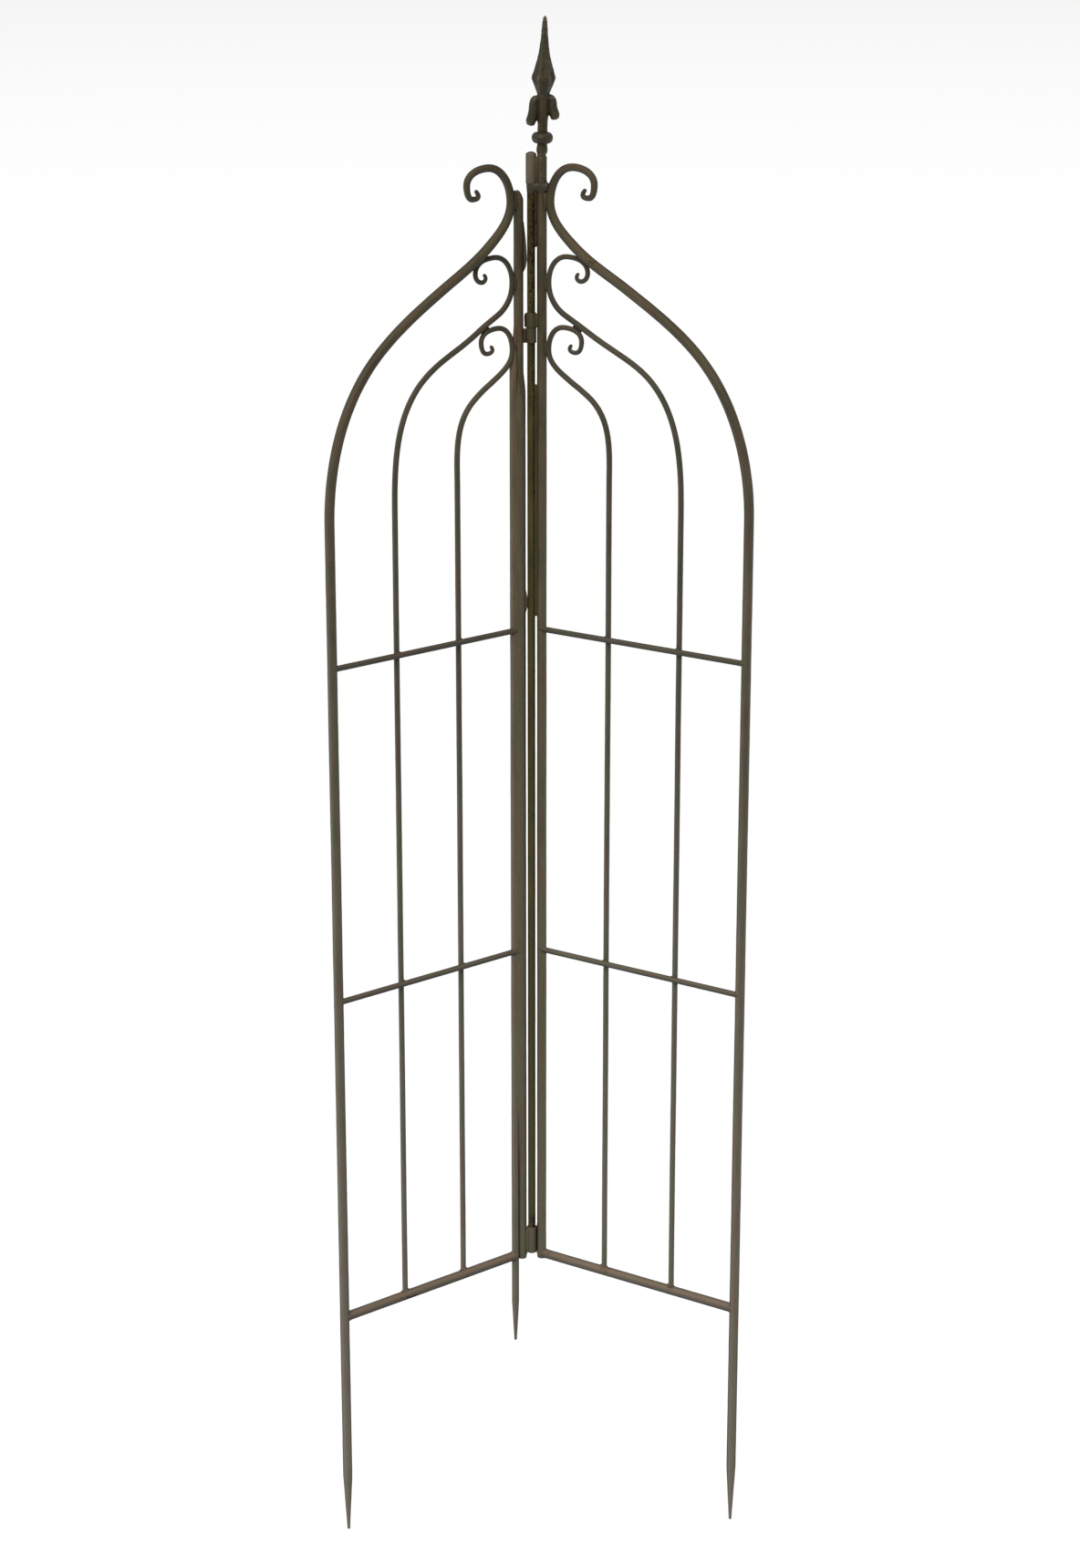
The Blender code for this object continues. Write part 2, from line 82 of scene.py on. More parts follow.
# %% Helpers that add and wire one node
def wire(tree, kind, inputs=None, out=0, **options):
    """Adds a node and gives back its output called out, or all its outputs for None."""
    node = tree.nodes.new(kind)
    for name, value in options.items():
        setattr(node, name, value)
    for key, value in (inputs or {}).items():
        if isinstance(value, bpy.types.NodeSocket):
            tree.links.new(value, node.inputs[key])
        else:
            node.inputs[key].default_value = value
    return node.outputs if out is None else node.outputs[out]


def calc(tree, operation, *values, clamp=False):
    return wire(tree, "ShaderNodeMath", dict(enumerate(values)), operation=operation, use_clamp=clamp)


def vector_calc(tree, operation, first, second):
    return wire(tree, "ShaderNodeVectorMath", {0: first, 1: second}, operation=operation)


def scaled(tree, vector, amount):
    return wire(tree, "ShaderNodeVectorMath", {0: vector, "Scale": amount}, operation="SCALE")


def part_of(tree, vector, axis):
    return wire(tree, "ShaderNodeSeparateXYZ", {0: vector}, axis)


def noise(tree, vector, scale, detail=4.0, roughness=0.6):
    inputs = {"Vector": vector, "Scale": scale, "Detail": detail, "Roughness": roughness}
    return wire(tree, "ShaderNodeTexNoise", inputs)


def centred(tree, value):
    """A noise value moved so that it swings about 0."""
    return calc(tree, "SUBTRACT", value, 0.5)


def remap(tree, value, low, high, to_low=0.0, to_high=1.0):
    inputs = {0: value, 1: low, 2: high, 3: to_low, 4: to_high}
    return wire(tree, "ShaderNodeMapRange", inputs, interpolation_type="SMOOTHSTEP")


def mix_colors(tree, mask, first, second, blend="MIX"):
    inputs = {0: mask, 6: first, 7: second}
    return wire(tree, "ShaderNodeMix", inputs, 2, data_type="RGBA", blend_type=blend)

# %% [markdown]
# ## Node groups
# A group is a small machine with named sockets, built once and used by many materials. A socket
# is given by its type. A plain number makes a number input that starts at that value.

# %% Helpers that make a group and close it
FLOAT, WHOLE, VECTOR, COLOR = (f"NodeSocket{kind}" for kind in ("Float", "Int", "Vector", "Color"))
SOCKET_FOR = {float: FLOAT, int: WHOLE}


def new_group(name, inputs, outputs, kind="ShaderNodeTree"):
    """A node group, what its inputs give inside it, and what its outputs take."""
    group = bpy.data.node_groups.new(name, kind)
    for label, value in inputs.items():
        socket = SOCKET_FOR.get(type(value), value)
        made = group.interface.new_socket(name=label, in_out="INPUT", socket_type=socket)
        if socket != value:
            made.default_value = value
    for label, socket in outputs.items():
        group.interface.new_socket(name=label, in_out="OUTPUT", socket_type=socket)
    given, wanted = group.nodes.new("NodeGroupInput"), group.nodes.new("NodeGroupOutput")
    return group, given.outputs, wanted.inputs


def send(group, wanted, **results):
    for label, result in results.items():
        group.links.new(result, wanted[label])
    print(group.name, "has", len(group.nodes), "nodes and gives", ", ".join(results))

# %% [markdown]
# ## What the paint does
# The bars were dipped or sprayed in a brown-olive paint and have stood outdoors. Up close the
# colour drifts in soft patches that run along each bar, with fine streaks over them, and its hue
# runs from green to red-brown. A noise texture that is squeezed along the bar gives all of these,
# and one group serves every bar.

# %% Shader group: drifting colour of old paint
ALONG_PATCH, ALONG_STREAK, ALONG_HUE = (1.0, 1.0, 0.28), (1.0, 1.0, 0.045), (1.0, 1.0, 0.10)

paint_drift, given, wanted = new_group(
    "Paint Drift", {"Place": VECTOR, "Patch Scale": 70.0, "Streak Strength": 0.5},
    {"Drift": FLOAT, "Hue": FLOAT, "Grain": FLOAT})
tree, place = paint_drift, given["Place"]
patch = noise(tree, vector_calc(tree, "MULTIPLY", place, ALONG_PATCH), given["Patch Scale"], 6.0)
streak = noise(tree, vector_calc(tree, "MULTIPLY", place, ALONG_STREAK), 760.0, 3.0)
fleck = noise(tree, place, 1500.0, 2.0, 0.5)
streak_part = calc(tree, "MULTIPLY", centred(tree, streak), given["Streak Strength"])
fleck_part = calc(tree, "MULTIPLY", centred(tree, fleck), 0.7)
patch_part = calc(tree, "MULTIPLY_ADD", centred(tree, patch), 2.3, 0.5)
drift = calc(tree, "ADD", calc(tree, "ADD", patch_part, streak_part), fleck_part, clamp=True)
grain = calc(tree, "MULTIPLY_ADD", patch, 0.5, calc(tree, "MULTIPLY", fleck, 0.5))
hue = noise(tree, vector_calc(tree, "MULTIPLY", place, ALONG_HUE), 190.0, 4.0, 0.62)
send(tree, wanted, Drift=drift, Hue=hue, Grain=grain)

# %% [markdown]
# ## What the rust does
# Rust starts in patches at welds and in hollows, and its edge is ragged. A patchy noise is cut
# off at a level that the Spread input moves, and a finer noise frays the edge. The group also
# gives the grit of the crust, for bump, and a tone that runs from black-brown to orange.

# %% Shader group: rust
FRAY, EDGE = 0.16, 0.09

rust_bloom, given, wanted = new_group(
    "Rust Bloom", {"Place": VECTOR, "Spread": 0.3, "Patch Scale": 60.0},
    {"Mask": FLOAT, "Tone": FLOAT, "Grit": FLOAT})
tree, place = rust_bloom, given["Place"]
patch = noise(tree, vector_calc(tree, "MULTIPLY", place, (1.0, 1.0, 0.5)), given["Patch Scale"], 8.0, 0.68)
fray = noise(tree, place, 900.0, 3.0, 0.7)
patch = calc(tree, "MULTIPLY_ADD", centred(tree, fray), FRAY, patch)
level = calc(tree, "MULTIPLY_ADD", given["Spread"], -0.55, 0.80)
mask = remap(tree, patch, level, calc(tree, "ADD", level, EDGE))
tone = calc(tree, "MULTIPLY_ADD", noise(tree, place, 380.0, 5.0, 0.65), 2.0, -0.5, clamp=True)
grit = noise(tree, place, 1300.0, 5.0, 0.75)
send(tree, wanted, Mask=mask, Tone=tone, Grit=grit)

# %% [markdown]
# ## What rain and soil do, and where light and shade are painted
# The lower bars are paler than the upper ones: splashed soil and sun have bleached them. Dust
# also lies on whatever faces up, and painted light is laid there with it, while painted shade makes
# the faces that look down cool and grey-green. The group reads the height and the way the surface faces.

# %% Shader group: bleaching, dust, and painted light and shade by facing
BLEACH_PER_METRE, BLEACH_AT_SOIL, HEIGHT_WAVER = -0.80, 0.86, 0.35

weather_and_facing_shade, given, wanted = new_group(
    "Weather And Facing Shade", {"Spot": VECTOR}, {"Bleach": FLOAT, "Upward": FLOAT, "Downward": FLOAT})
tree, spot = weather_and_facing_shade, given["Spot"]
waver = centred(tree, noise(tree, spot, 9.0, 3.0))
height = calc(tree, "MULTIPLY_ADD", waver, HEIGHT_WAVER, part_of(tree, spot, "Z"))
bleach = calc(tree, "MULTIPLY_ADD", height, BLEACH_PER_METRE, BLEACH_AT_SOIL, clamp=True)
facing_up = part_of(tree, wire(tree, "ShaderNodeNewGeometry", out="Normal"), "Z")
upward = remap(tree, facing_up, 0.05, 0.75)
downward = remap(tree, facing_up, -0.05, -0.65)
send(tree, wanted, Bleach=bleach, Upward=upward, Downward=downward)

# %% [markdown]
# ## How the paint has aged, with painted light and shade
# One group turns the masks above into a colour. It mixes the two tones of the paint, pales them
# near the ground, casts them red or green, lays warm dust with painted light on top and painted cool
# shade underneath. Each finish gives the group its own three tones, because the upper bars are darker than
# the foot.

# %% Shader group: colour of aged paint, with painted light on top and painted shade below
def tone_of(red, green, blue):
    """A screen colour from 0 to 255 as the linear colour that a shader wants."""
    linear = [((c / 255 + 0.055) / 1.055) ** 2.4 if c > 10 else c / 3294.6 for c in (red, green, blue)]
    return (*linear, 1.0)


RED_CAST, GREEN_CAST = (1.0, 0.84, 0.80, 1.0), (0.82, 0.95, 0.78, 1.0)
# The first tone below is dust together with painted light on faces that look up; the second is painted cool
# shade on faces that look down.
DUST_AND_TOP_LIGHT_TONE, UNDERSIDE_SHADE_TONE = tone_of(124, 106, 86), tone_of(74, 82, 82)

aged_paint_and_shade, given, wanted = new_group("Aged Paint And Shade", {
    "Dark": COLOR, "Light": COLOR, "Bleached": COLOR, "Drift": 0.5, "Hue": 0.5, "Bleach": 0.0,
    "Upward": 0.0, "Downward": 0.0, "Dust And Top Light": 1.0, "Underside Shade": 0.6}, {"Color": COLOR})
tree = aged_paint_and_shade
color = mix_colors(tree, given["Drift"], given["Dark"], given["Light"])
color = mix_colors(tree, given["Bleach"], color, given["Bleached"])
color = mix_colors(tree, remap(tree, given["Hue"], 0.48, 0.64), color, RED_CAST, "MULTIPLY")
color = mix_colors(tree, remap(tree, given["Hue"], 0.51, 0.36), color, GREEN_CAST, "MULTIPLY")
# Dust and painted light on faces that look up.
top_dust_and_light = calc(tree, "MULTIPLY_ADD", given["Bleach"], 0.32, 0.08)
top_dust_and_light = calc(tree, "MULTIPLY", calc(tree, "MULTIPLY", top_dust_and_light, given["Dust And Top Light"]), given["Upward"])
color = mix_colors(tree, top_dust_and_light, color, DUST_AND_TOP_LIGHT_TONE)
# Painted cool shade on faces that look down.
underside_shade = calc(tree, "MULTIPLY", given["Downward"], given["Underside Shade"])
color = mix_colors(tree, underside_shade, color, UNDERSIDE_SHADE_TONE)
send(tree, wanted, Color=color)

# %% [markdown]
# ## The stack of a finish
# Every finish is the same stack: two tones of paint, bleaching near the ground, a cast of red or
# green, dust with painted light above, painted cool shade below, and rust on top. Layer Weight paints
# shade on the paint at a grazing angle, which draws a dark line along both edges of a bar. The
# masks come from the groups, and the shader itself stays in each material. Bars carry an attribute
# that follows their length, so the grain bends with the scrolls; castings read Object coordinates.

# %% Helper that makes a finish, from tones written as they look on screen
OLD_RUST = (34, 17, 9), (78, 40, 21)
RUST_BUMP = 0.0003
# Besides the painted edge shade: a pale tone for a casting's edges, rubbed wear with a painted highlight,
# and a near-black tone of painted shade for its hollows.
EDGE_SHADE, EDGE_WEAR_AND_HIGHLIGHT, HOLLOW_SHADE = tone_of(20, 19, 14), tone_of(104, 92, 70), tone_of(22, 19, 10)


def attribute(tree, name, out="Fac"):
    return wire(tree, "ShaderNodeAttribute", out=out, attribute_name=name)


def use_group(tree, source, inputs):
    return wire(tree, "ShaderNodeGroup", inputs, None, node_tree=source)


def finish(name, dark, light, bleached, rust_tones=OLD_RUST, spread="rusty", patch_scale=60.0,
           along_bar=True, roughness=(0.48, 0.68), bump=0.00012, relief_light_and_shade=False, shine=0.15,
           dust_and_top_light=1.0, underside_shade=0.6, edge_shade_strength=0.86):
    """A material of aged paint, with painted light on top and painted shade below and along the edges. How
    far rust spreads is a number, or an attribute's name.
    """
    made = bpy.data.materials.new(name)
    made.use_nodes = True
    tree = made.node_tree
    shader = tree.nodes["Principled BSDF"].inputs
    spot = wire(tree, "ShaderNodeTexCoord", out="Object")
    place = attribute(tree, "bar_place", "Vector") if along_bar else spot
    if isinstance(spread, str):
        spread = attribute(tree, spread)
    paint = use_group(tree, paint_drift, {"Place": place})
    rust = use_group(tree, rust_bloom, {"Place": place, "Spread": spread, "Patch Scale": patch_scale})
    weather_and_facing = use_group(tree, weather_and_facing_shade, {"Spot": spot})
    color = use_group(tree, aged_paint_and_shade, {
        "Dark": tone_of(*dark), "Light": tone_of(*light), "Bleached": tone_of(*bleached),
        "Drift": paint["Drift"], "Hue": paint["Hue"], "Bleach": weather_and_facing["Bleach"],
        "Upward": weather_and_facing["Upward"], "Downward": weather_and_facing["Downward"], "Dust And Top Light": dust_and_top_light, "Underside Shade": underside_shade})["Color"]
    if relief_light_and_shade:
        # Pale edges, partly wear and partly painted highlight, and painted shade in the hollows.
        relief = attribute(tree, "relief")
        color = mix_colors(tree, remap(tree, relief, 0.54, 0.80, 0.0, 0.8), color, EDGE_WEAR_AND_HIGHLIGHT)
        color = mix_colors(tree, remap(tree, relief, 0.46, 0.24, 0.0, 0.9), color, HOLLOW_SHADE)
    rust_color = mix_colors(tree, rust["Tone"], *(tone_of(*tone) for tone in rust_tones))
    color = mix_colors(tree, rust["Mask"], color, rust_color)
    # Painted shade: Layer Weight darkens both edges of every bar, as seen from the camera.
    grazing = wire(tree, "ShaderNodeLayerWeight", {"Blend": 0.5}, "Facing")
    color = mix_colors(tree, remap(tree, grazing, 0.28, 0.72, 0.0, edge_shade_strength), color, EDGE_SHADE)
    gloss = remap(tree, paint["Drift"], 0.0, 1.0, *roughness)
    gloss = calc(tree, "MULTIPLY_ADD", rust["Mask"], 0.3, gloss, clamp=True)
    crust = calc(tree, "MULTIPLY", rust["Grit"], calc(tree, "MULTIPLY", rust["Mask"], RUST_BUMP / bump))
    relief = calc(tree, "ADD", paint["Grain"], crust)
    relief = wire(tree, "ShaderNodeBump", {"Height": relief, "Strength": 0.9, "Distance": bump}, "Normal")
    for label, result in (("Base Color", color), ("Roughness", gloss), ("Normal", relief)):
        tree.links.new(result, shader[label])
    shader["Specular IOR Level"].default_value = shine
    return made

# %% [markdown]
# ## The finishes of this trellis
# The paint isn't the same everywhere: the level bars take the darkest tones as painted shade, the
# foot is palest, the long filled grooves are pale with a painted highlight, the pin has lost most of
# its paint, and the casting has painted shade nearly black in its hollows. Each gets its own tones in
# the same stack: dark paint, light paint, and bleached paint.

# %% Finishes
dark_bar = finish("dark_bar_paint", (49, 46, 32), (86, 74, 56), (110, 104, 94))
thin_bar = finish("thin_bar_paint", (46, 45, 33), (79, 70, 57), (102, 98, 89))
# The level bars' darker tones are painted shade.
shaded_level_bar = finish("shaded_level_bar_paint", (40, 40, 31), (67, 62, 52), (86, 83, 75), dust_and_top_light=1.3)
olive_bar = finish("olive_bar_paint", (54, 50, 35), (90, 79, 60), (100, 94, 80))
leg_paint = finish("leg_paint", (69, 60, 43), (106, 91, 71), (100, 96, 87))
# The seam finish is paler, with less edge shade, to paint a highlight along the filled grooves.
seam_highlight_paint = finish("seam_highlight_paint", (73, 65, 48), (104, 92, 72), (104, 99, 86), edge_shade_strength=0.35)
worn_bar = finish("worn_bar_paint", (60, 57, 50), (86, 77, 68), (92, 84, 76), dust_and_top_light=1.7, underside_shade=0.95)
pitted_iron = finish(
    "pitted_iron", (40, 36, 16), (80, 72, 34), (72, 68, 42), ((18, 11, 7), (54, 28, 17)),
    patch_scale=480.0, roughness=(0.55, 0.75))
cast_iron = finish(
    "cast_iron", (22, 18, 4), (54, 47, 20), (58, 52, 28), ((18, 9, 5), (56, 30, 18)),
    patch_scale=110.0, along_bar=False, roughness=(0.42, 0.64), bump=0.0002, relief_light_and_shade=True,
    shine=0.25, underside_shade=0.2)
weld_metal = finish(
    "weld_metal", (46, 42, 29), (79, 69, 53), (94, 86, 74), ((26, 14, 8), (78, 40, 22)),
    patch_scale=150.0, edge_shade_strength=0.40)
pale_tube = finish(
    "pale_tube", (74, 69, 56), (104, 94, 79), (104, 94, 79), spread=0.22, patch_scale=120.0,
    along_bar=False)
worn_tube = finish(
    "worn_tube", (60, 56, 44), (92, 83, 67), (94, 86, 70), spread=0.30, patch_scale=120.0,
    along_bar=False)
ring_paint = finish(
    "ring_paint", (58, 56, 40), (88, 80, 57), (88, 80, 58), ((36, 17, 9), (90, 50, 26)),
    spread=0.42, patch_scale=150.0, along_bar=False)
print("finishes", [made.name for made in bpy.data.materials if made.use_nodes])

# %% [markdown]
# ## Nodes that make shapes
# Bars, beads and castings get their shape from Geometry Nodes trees. The steps that these share
# are helpers: keep a number on each point, sweep a round profile along a line, push the surface
# in and out by a noise, and close the tree. A finish can read the kept numbers later.

# %% Helpers for the geometry trees
SHAPE = "NodeSocketGeometry"


def geometry_tree(name, sizes):
    inputs = {"Geometry": SHAPE, **sizes, "Finish": "NodeSocketMaterial"}
    return new_group(name, inputs, {"Geometry": SHAPE}, "GeometryNodeTree")


def named(tree, name, kind="FLOAT"):
    return wire(tree, "GeometryNodeInputNamedAttribute", {"Name": name}, data_type=kind)


def store(tree, geometry, name, value, kind="FLOAT"):
    inputs = {"Geometry": geometry, "Name": name, "Value": value}
    return wire(tree, "GeometryNodeStoreNamedAttribute", inputs, data_type=kind, domain="POINT")


def seeded_position(tree, seed):
    return vector_calc(tree, "ADD", wire(tree, "GeometryNodeInputPosition"), seed)


def sweep(tree, line, profile_radius, sides, scale):
    """Sweeps a round profile, and keeps how far along and around each point is."""
    line = store(tree, line, "along", wire(tree, "GeometryNodeSplineParameter", out="Length"))
    ring = wire(tree, "GeometryNodeCurvePrimitiveCircle", {"Resolution": sides, "Radius": profile_radius})
    ring = store(tree, ring, "around", wire(tree, "GeometryNodeSplineParameter", out="Factor"))
    inputs = {"Curve": line, "Profile Curve": ring, "Scale": scale, "Fill Caps": True}
    return wire(tree, "GeometryNodeCurveToMesh", inputs)


def push_out(tree, geometry, place, scale, depth, detail=3.0, still=0.5):
    """Moves the surface along its normal by depth times a noise; the value still moves nothing."""
    bumps = calc(tree, "SUBTRACT", noise(tree, place, scale, detail), still)
    normal = wire(tree, "GeometryNodeInputNormal", out="Normal")
    offset = scaled(tree, normal, calc(tree, "MULTIPLY", bumps, depth))
    return wire(tree, "GeometryNodeSetPosition", {"Geometry": geometry, "Offset": offset})


def close_tree(tree, wanted, geometry, look):
    geometry = wire(tree, "GeometryNodeSetShadeSmooth", {"Geometry": geometry})
    geometry = wire(tree, "GeometryNodeRealizeInstances", {"Geometry": geometry})
    geometry = wire(tree, "GeometryNodeSetMaterial", {"Geometry": geometry, "Material": look})
    send(tree, wanted, Geometry=geometry)

# %% [markdown]
# ## A forged bar, as a Geometry Nodes tree
# Every bar is one rule: a line, a round profile, and a thickness that changes along the line.
# The tree turns a line of edges into a curve, sweeps the profile along it, and moves the surface
# in and out a little, as hammering and thick paint do. It stores where each point lies around
# and along the bar, and the finishes read that.

# %% Geometry Nodes: forged bar
SEED_STEP = 3.7


def bar_place(tree, radius, seed):
    """A point's place on the bar: round the profile in X and Y, along the bar in Z."""
    angle = calc(tree, "MULTIPLY", named(tree, "around"), 2 * math.pi)
    across = calc(tree, "MULTIPLY", calc(tree, "COSINE", angle), radius)
    deep = calc(tree, "MULTIPLY", calc(tree, "SINE", angle), radius)
    far = calc(tree, "MULTIPLY_ADD", seed, SEED_STEP, named(tree, "along"))
    return wire(tree, "ShaderNodeCombineXYZ", {"X": across, "Y": deep, "Z": far})


forged_bar, size, wanted = geometry_tree("Forged Bar", {
    "Stock Radius": 0.005, "Profile Sides": 28, "Wander": 0.0003, "Hammering": 0.0003,
    "Rust And Shade Lean": 0.0, "Seed": 0.0})
tree = forged_bar
line = wire(tree, "GeometryNodeMeshToCurve", {"Mesh": size["Geometry"]})
spot = seeded_position(tree, size["Seed"])
drift = wire(tree, "ShaderNodeTexNoise", {"Vector": spot, "Scale": 7.0, "Detail": 1.0}, "Color")
drift = vector_calc(tree, "SUBTRACT", drift, (0.5, 0.5, 0.5))
drift = vector_calc(tree, "MULTIPLY", scaled(tree, drift, size["Wander"]), (1.0, 1.0, 0.0))
line = wire(tree, "GeometryNodeSetPosition", {"Geometry": line, "Offset": drift})
bar = sweep(tree, line, size["Stock Radius"], size["Profile Sides"], named(tree, "share"))
place = bar_place(tree, size["Stock Radius"], size["Seed"])
bar = store(tree, bar, "bar_place", place, "FLOAT_VECTOR")
bar = push_out(tree, bar, named(tree, "bar_place", "FLOAT_VECTOR"), 110.0, size["Hammering"], still=0.70)
# The lean adds rust on faces that look towards +X, away from the sun lamp, and so paints shade on that side.
away_from_sun = part_of(tree, wire(tree, "GeometryNodeInputNormal", out="Normal"), "X")
lean = calc(tree, "MULTIPLY_ADD", away_from_sun, size["Rust And Shade Lean"], named(tree, "rusty"))
close_tree(tree, wanted, store(tree, bar, "rusty", lean), size["Finish"])

# %% [markdown]
# ## From a base mesh to a finished piece
# A modifier needs an object to sit on. The base is a throwaway object; its evaluated result is
# copied out as a plain mesh, the modifier goes with the throwaway, and the new piece sits at the
# origin with its place in its mesh. The base of a bar is a line of edges that carries numbers.

# %% Helpers that run a tree and keep the mesh
def new_object(name, mesh):
    made = bpy.data.objects.new(name, mesh)
    bpy.context.scene.collection.objects.link(made)
    return made


def evaluated_mesh(thing):
    """What an object looks like with its modifiers, as a plain mesh. The object goes."""
    bpy.context.view_layer.update()
    evaluated = thing.evaluated_get(bpy.context.evaluated_depsgraph_get())
    mesh = bpy.data.meshes.new_from_object(evaluated)
    bpy.data.objects.remove(thing, do_unlink=True)
    return mesh


def run_tree(name, base, tree, settings):
    guide = new_object(name + "_guide", base)
    modifier = guide.modifiers.new("shape", "NODES")
    modifier.node_group = tree
    sockets = {item.name: item.identifier for item in tree.interface.items_tree if item.in_out == "INPUT"}
    for label, value in settings.items():
        modifier[sockets[label]] = value
    mesh = evaluated_mesh(guide)
    bpy.data.meshes.remove(base)
    mesh.name = name
    return new_object(name, mesh)


def keep_numbers(mesh, label, values):
    made = mesh.attributes.new(label, "FLOAT", "POINT")
    made.data.foreach_set("value", np.asarray(values, np.float32))


def line_mesh(points, edges, numbers):
    """A mesh of edges alone, with one number of each label at every point."""
    line = bpy.data.meshes.new("line")
    line.from_pydata([tuple(point) for point in points], edges, [])
    for label, values in numbers.items():
        keep_numbers(line, label, values)
    return line

# %% [markdown]
# ## The panels' own measures
# Each panel lies in an upright plane through the hinge. A place on it is three numbers: how far
# out from the hinge axis, how far back from the plane in which the panels fold together, and the
# height above the tips of the long spikes. These are the same values that the solids have.

# %% Measures of the panels
SOIL_DEPTH = 0.180
HALF_OPENING = math.radians(53.0)
LEFT, RIGHT = -1, 1

OUTER_R, POST_R, BOTTOM_R = 0.005, 0.005, 0.005
LEG_R, THIN_R, CROSSBAR_R, PIN_R = 0.004, 0.003, 0.003, 0.004
SLEEVE_R, BORE_R = 0.0052, 0.0043
CLEAR = 0.0003
OUTER_N = POST_N = BOTTOM_N = 0.0052
CROSSBAR_N, THIN_N = 0.0032, 0.0095

POST_S = math.sqrt((SLEEVE_R + CLEAR + POST_R) ** 2 - POST_N ** 2)
LEG_S = POST_S + POST_R + CLEAR + LEG_R
POST_SET = 0.0025
WIDTH = {LEFT: 0.2449, RIGHT: 0.2471}
MIDDLE_S = {LEFT: 0.1634, RIGHT: 0.1683}
INNER_S = {LEFT: 0.0861, RIGHT: 0.0856}
UPPER_POST_S = {LEFT: POST_S + POST_SET, RIGHT: POST_S}
CROSSBARS = {"bottom": 0.2432, "middle": 0.588, "top": 0.930}
CROSSBARS_FROM = {LEFT: (LEG_S, LEG_R), RIGHT: (POST_S, POST_R)}
SIDE_NAME = {LEFT: "left", RIGHT: "right"}
BODY = {LEFT: "left_panel", RIGHT: "right_panel"}


def panel_place(side, out, back, height):
    x = side * (out * math.sin(HALF_OPENING) + back * math.cos(HALF_OPENING))
    y = -out * math.cos(HALF_OPENING) + back * math.sin(HALF_OPENING)
    return np.array((x, y, height - SOIL_DEPTH))


print("posts", round(POST_S, 5), "m out from the hinge axis, middle leg", round(LEG_S, 5))

# %% [markdown]
# ## Lines of the bars
# A smith bends a bar between a few marks. Each mark here is a place, the direction that the bar
# runs in there, and its share of full thickness, because scrolls and spikes are drawn thinner.
# Between marks the bar follows a Bezier arc whose handles suit a circular bend.

# %% Bends between marks
UP, DOWN, OUTWARD, INWARD = 90.0, -90.0, 0.0, 180.0
STRAIGHT_STEP = 0.006
STEPS_PER_BEND = 14
TIP_TURNS = [math.radians(turn) for turn in (18, 36, 54, 70, 83)]


def between(start, end, share):
    return start + share * (end - start)


def heading(turn):
    return np.array((math.cos(math.radians(turn)), math.sin(math.radians(turn))))


def bend_line(marks):
    """Points (out, height) and thickness shares along a bar, from its marks."""
    points, shares = [], []
    for (x0, z0, turn0, share0), (x1, z1, turn1, share1) in zip(marks, marks[1:]):
        start, end = np.array((x0, z0)), np.array((x1, z1))
        chord = np.linalg.norm(end - start)
        turn = abs((turn1 - turn0 + 180.0) % 360.0 - 180.0)
        half = math.radians(max(turn, 0.01)) / 2
        reach = chord * (2.0 / 3.0) * math.tan(half / 2) / math.sin(half)
        knots = (start, start + reach * heading(turn0), end - reach * heading(turn1), end)
        steps = max(STEPS_PER_BEND, round(chord / STRAIGHT_STEP))
        for step in range(steps):
            t = step / steps
            weights = ((1 - t) ** 3, 3 * t * (1 - t) ** 2, 3 * t * t * (1 - t), t ** 3)
            points.append(sum(w * k for w, k in zip(weights, knots)))
            shares.append(between(share0, share1, t))
    points.append(end)
    shares.append(share1)
    return np.array(points), np.array(shares)


def round_end(points, shares, radius, flat=0.75):
    """Adds a rounded tip after the last point."""
    aim = points[-1] - points[-2]
    aim = aim / np.linalg.norm(aim)
    tip, share = points[-1], shares[-1]
    more = [tip + aim * radius * share * flat * math.sin(turn) for turn in TIP_TURNS]
    return np.vstack([points, more]), np.append(shares, [share * math.cos(turn) for turn in TIP_TURNS])

# %% [markdown]
# ## Marks of the three scrolled bars
# The outer bar rises from its spike, sweeps in as an ogee, passes the post and curls back out.
# The middle and inner bars do the same on a smaller scale, each tucked under the one above, and
# they lean forward near the post, because they stand behind the crossbars below.

# %% Marks of the scrolls
OUTER_SCROLL = (
    (0.0000, 1.3560, UP, 0.86), (0.0272, 1.3911, OUTWARD, 0.78), (0.0507, 1.3756, DOWN, 0.70),
    (0.0437, 1.3628, INWARD, 0.58), (0.0376, 1.3655, UP, 0.50), (0.0400, 1.3700, 45.0, 0.42))
MIDDLE_SCROLL = (
    (0.0000, -0.0265, UP, 0.93), (0.0196, 0.0000, OUTWARD, 0.90), (0.0423, -0.0142, DOWN, 0.87),
    (0.0340, -0.0230, INWARD, 0.80), (0.0298, -0.0192, UP, 0.70), (0.0312, -0.0162, 45.0, 0.63))
INNER_SCROLL = (
    (0.0000, -0.0232, UP, 0.93), (0.0161, 0.0000, OUTWARD, 0.90), (0.0356, -0.0127, DOWN, 0.87),
    (0.0284, -0.0239, INWARD, 0.80), (0.0226, -0.0204, UP, 0.70), (0.0241, -0.0174, 45.0, 0.63))
SPREAD = {LEFT: 1.07, RIGHT: 1.00}


def scroll_marks(post, radius, depth, scroll, base=0.0, spread=1.0):
    reach = POST_R + scroll[0][3] * radius + CLEAR
    near = post + math.sqrt(reach ** 2 - (depth - POST_N) ** 2)
    return [(near + spread * out, base + height, turn, share) for out, height, turn, share in scroll]


print("marks in each scroll", len(OUTER_SCROLL))

# %% [markdown]
# ## Below the scrolls
# Each long bar is straight from its foot up to a bend, and an ogee leads from there to the neck
# of its scroll. The marks of the ogee are shares of the way from the post to the bar, so that a
# panel of another width keeps the same curve.

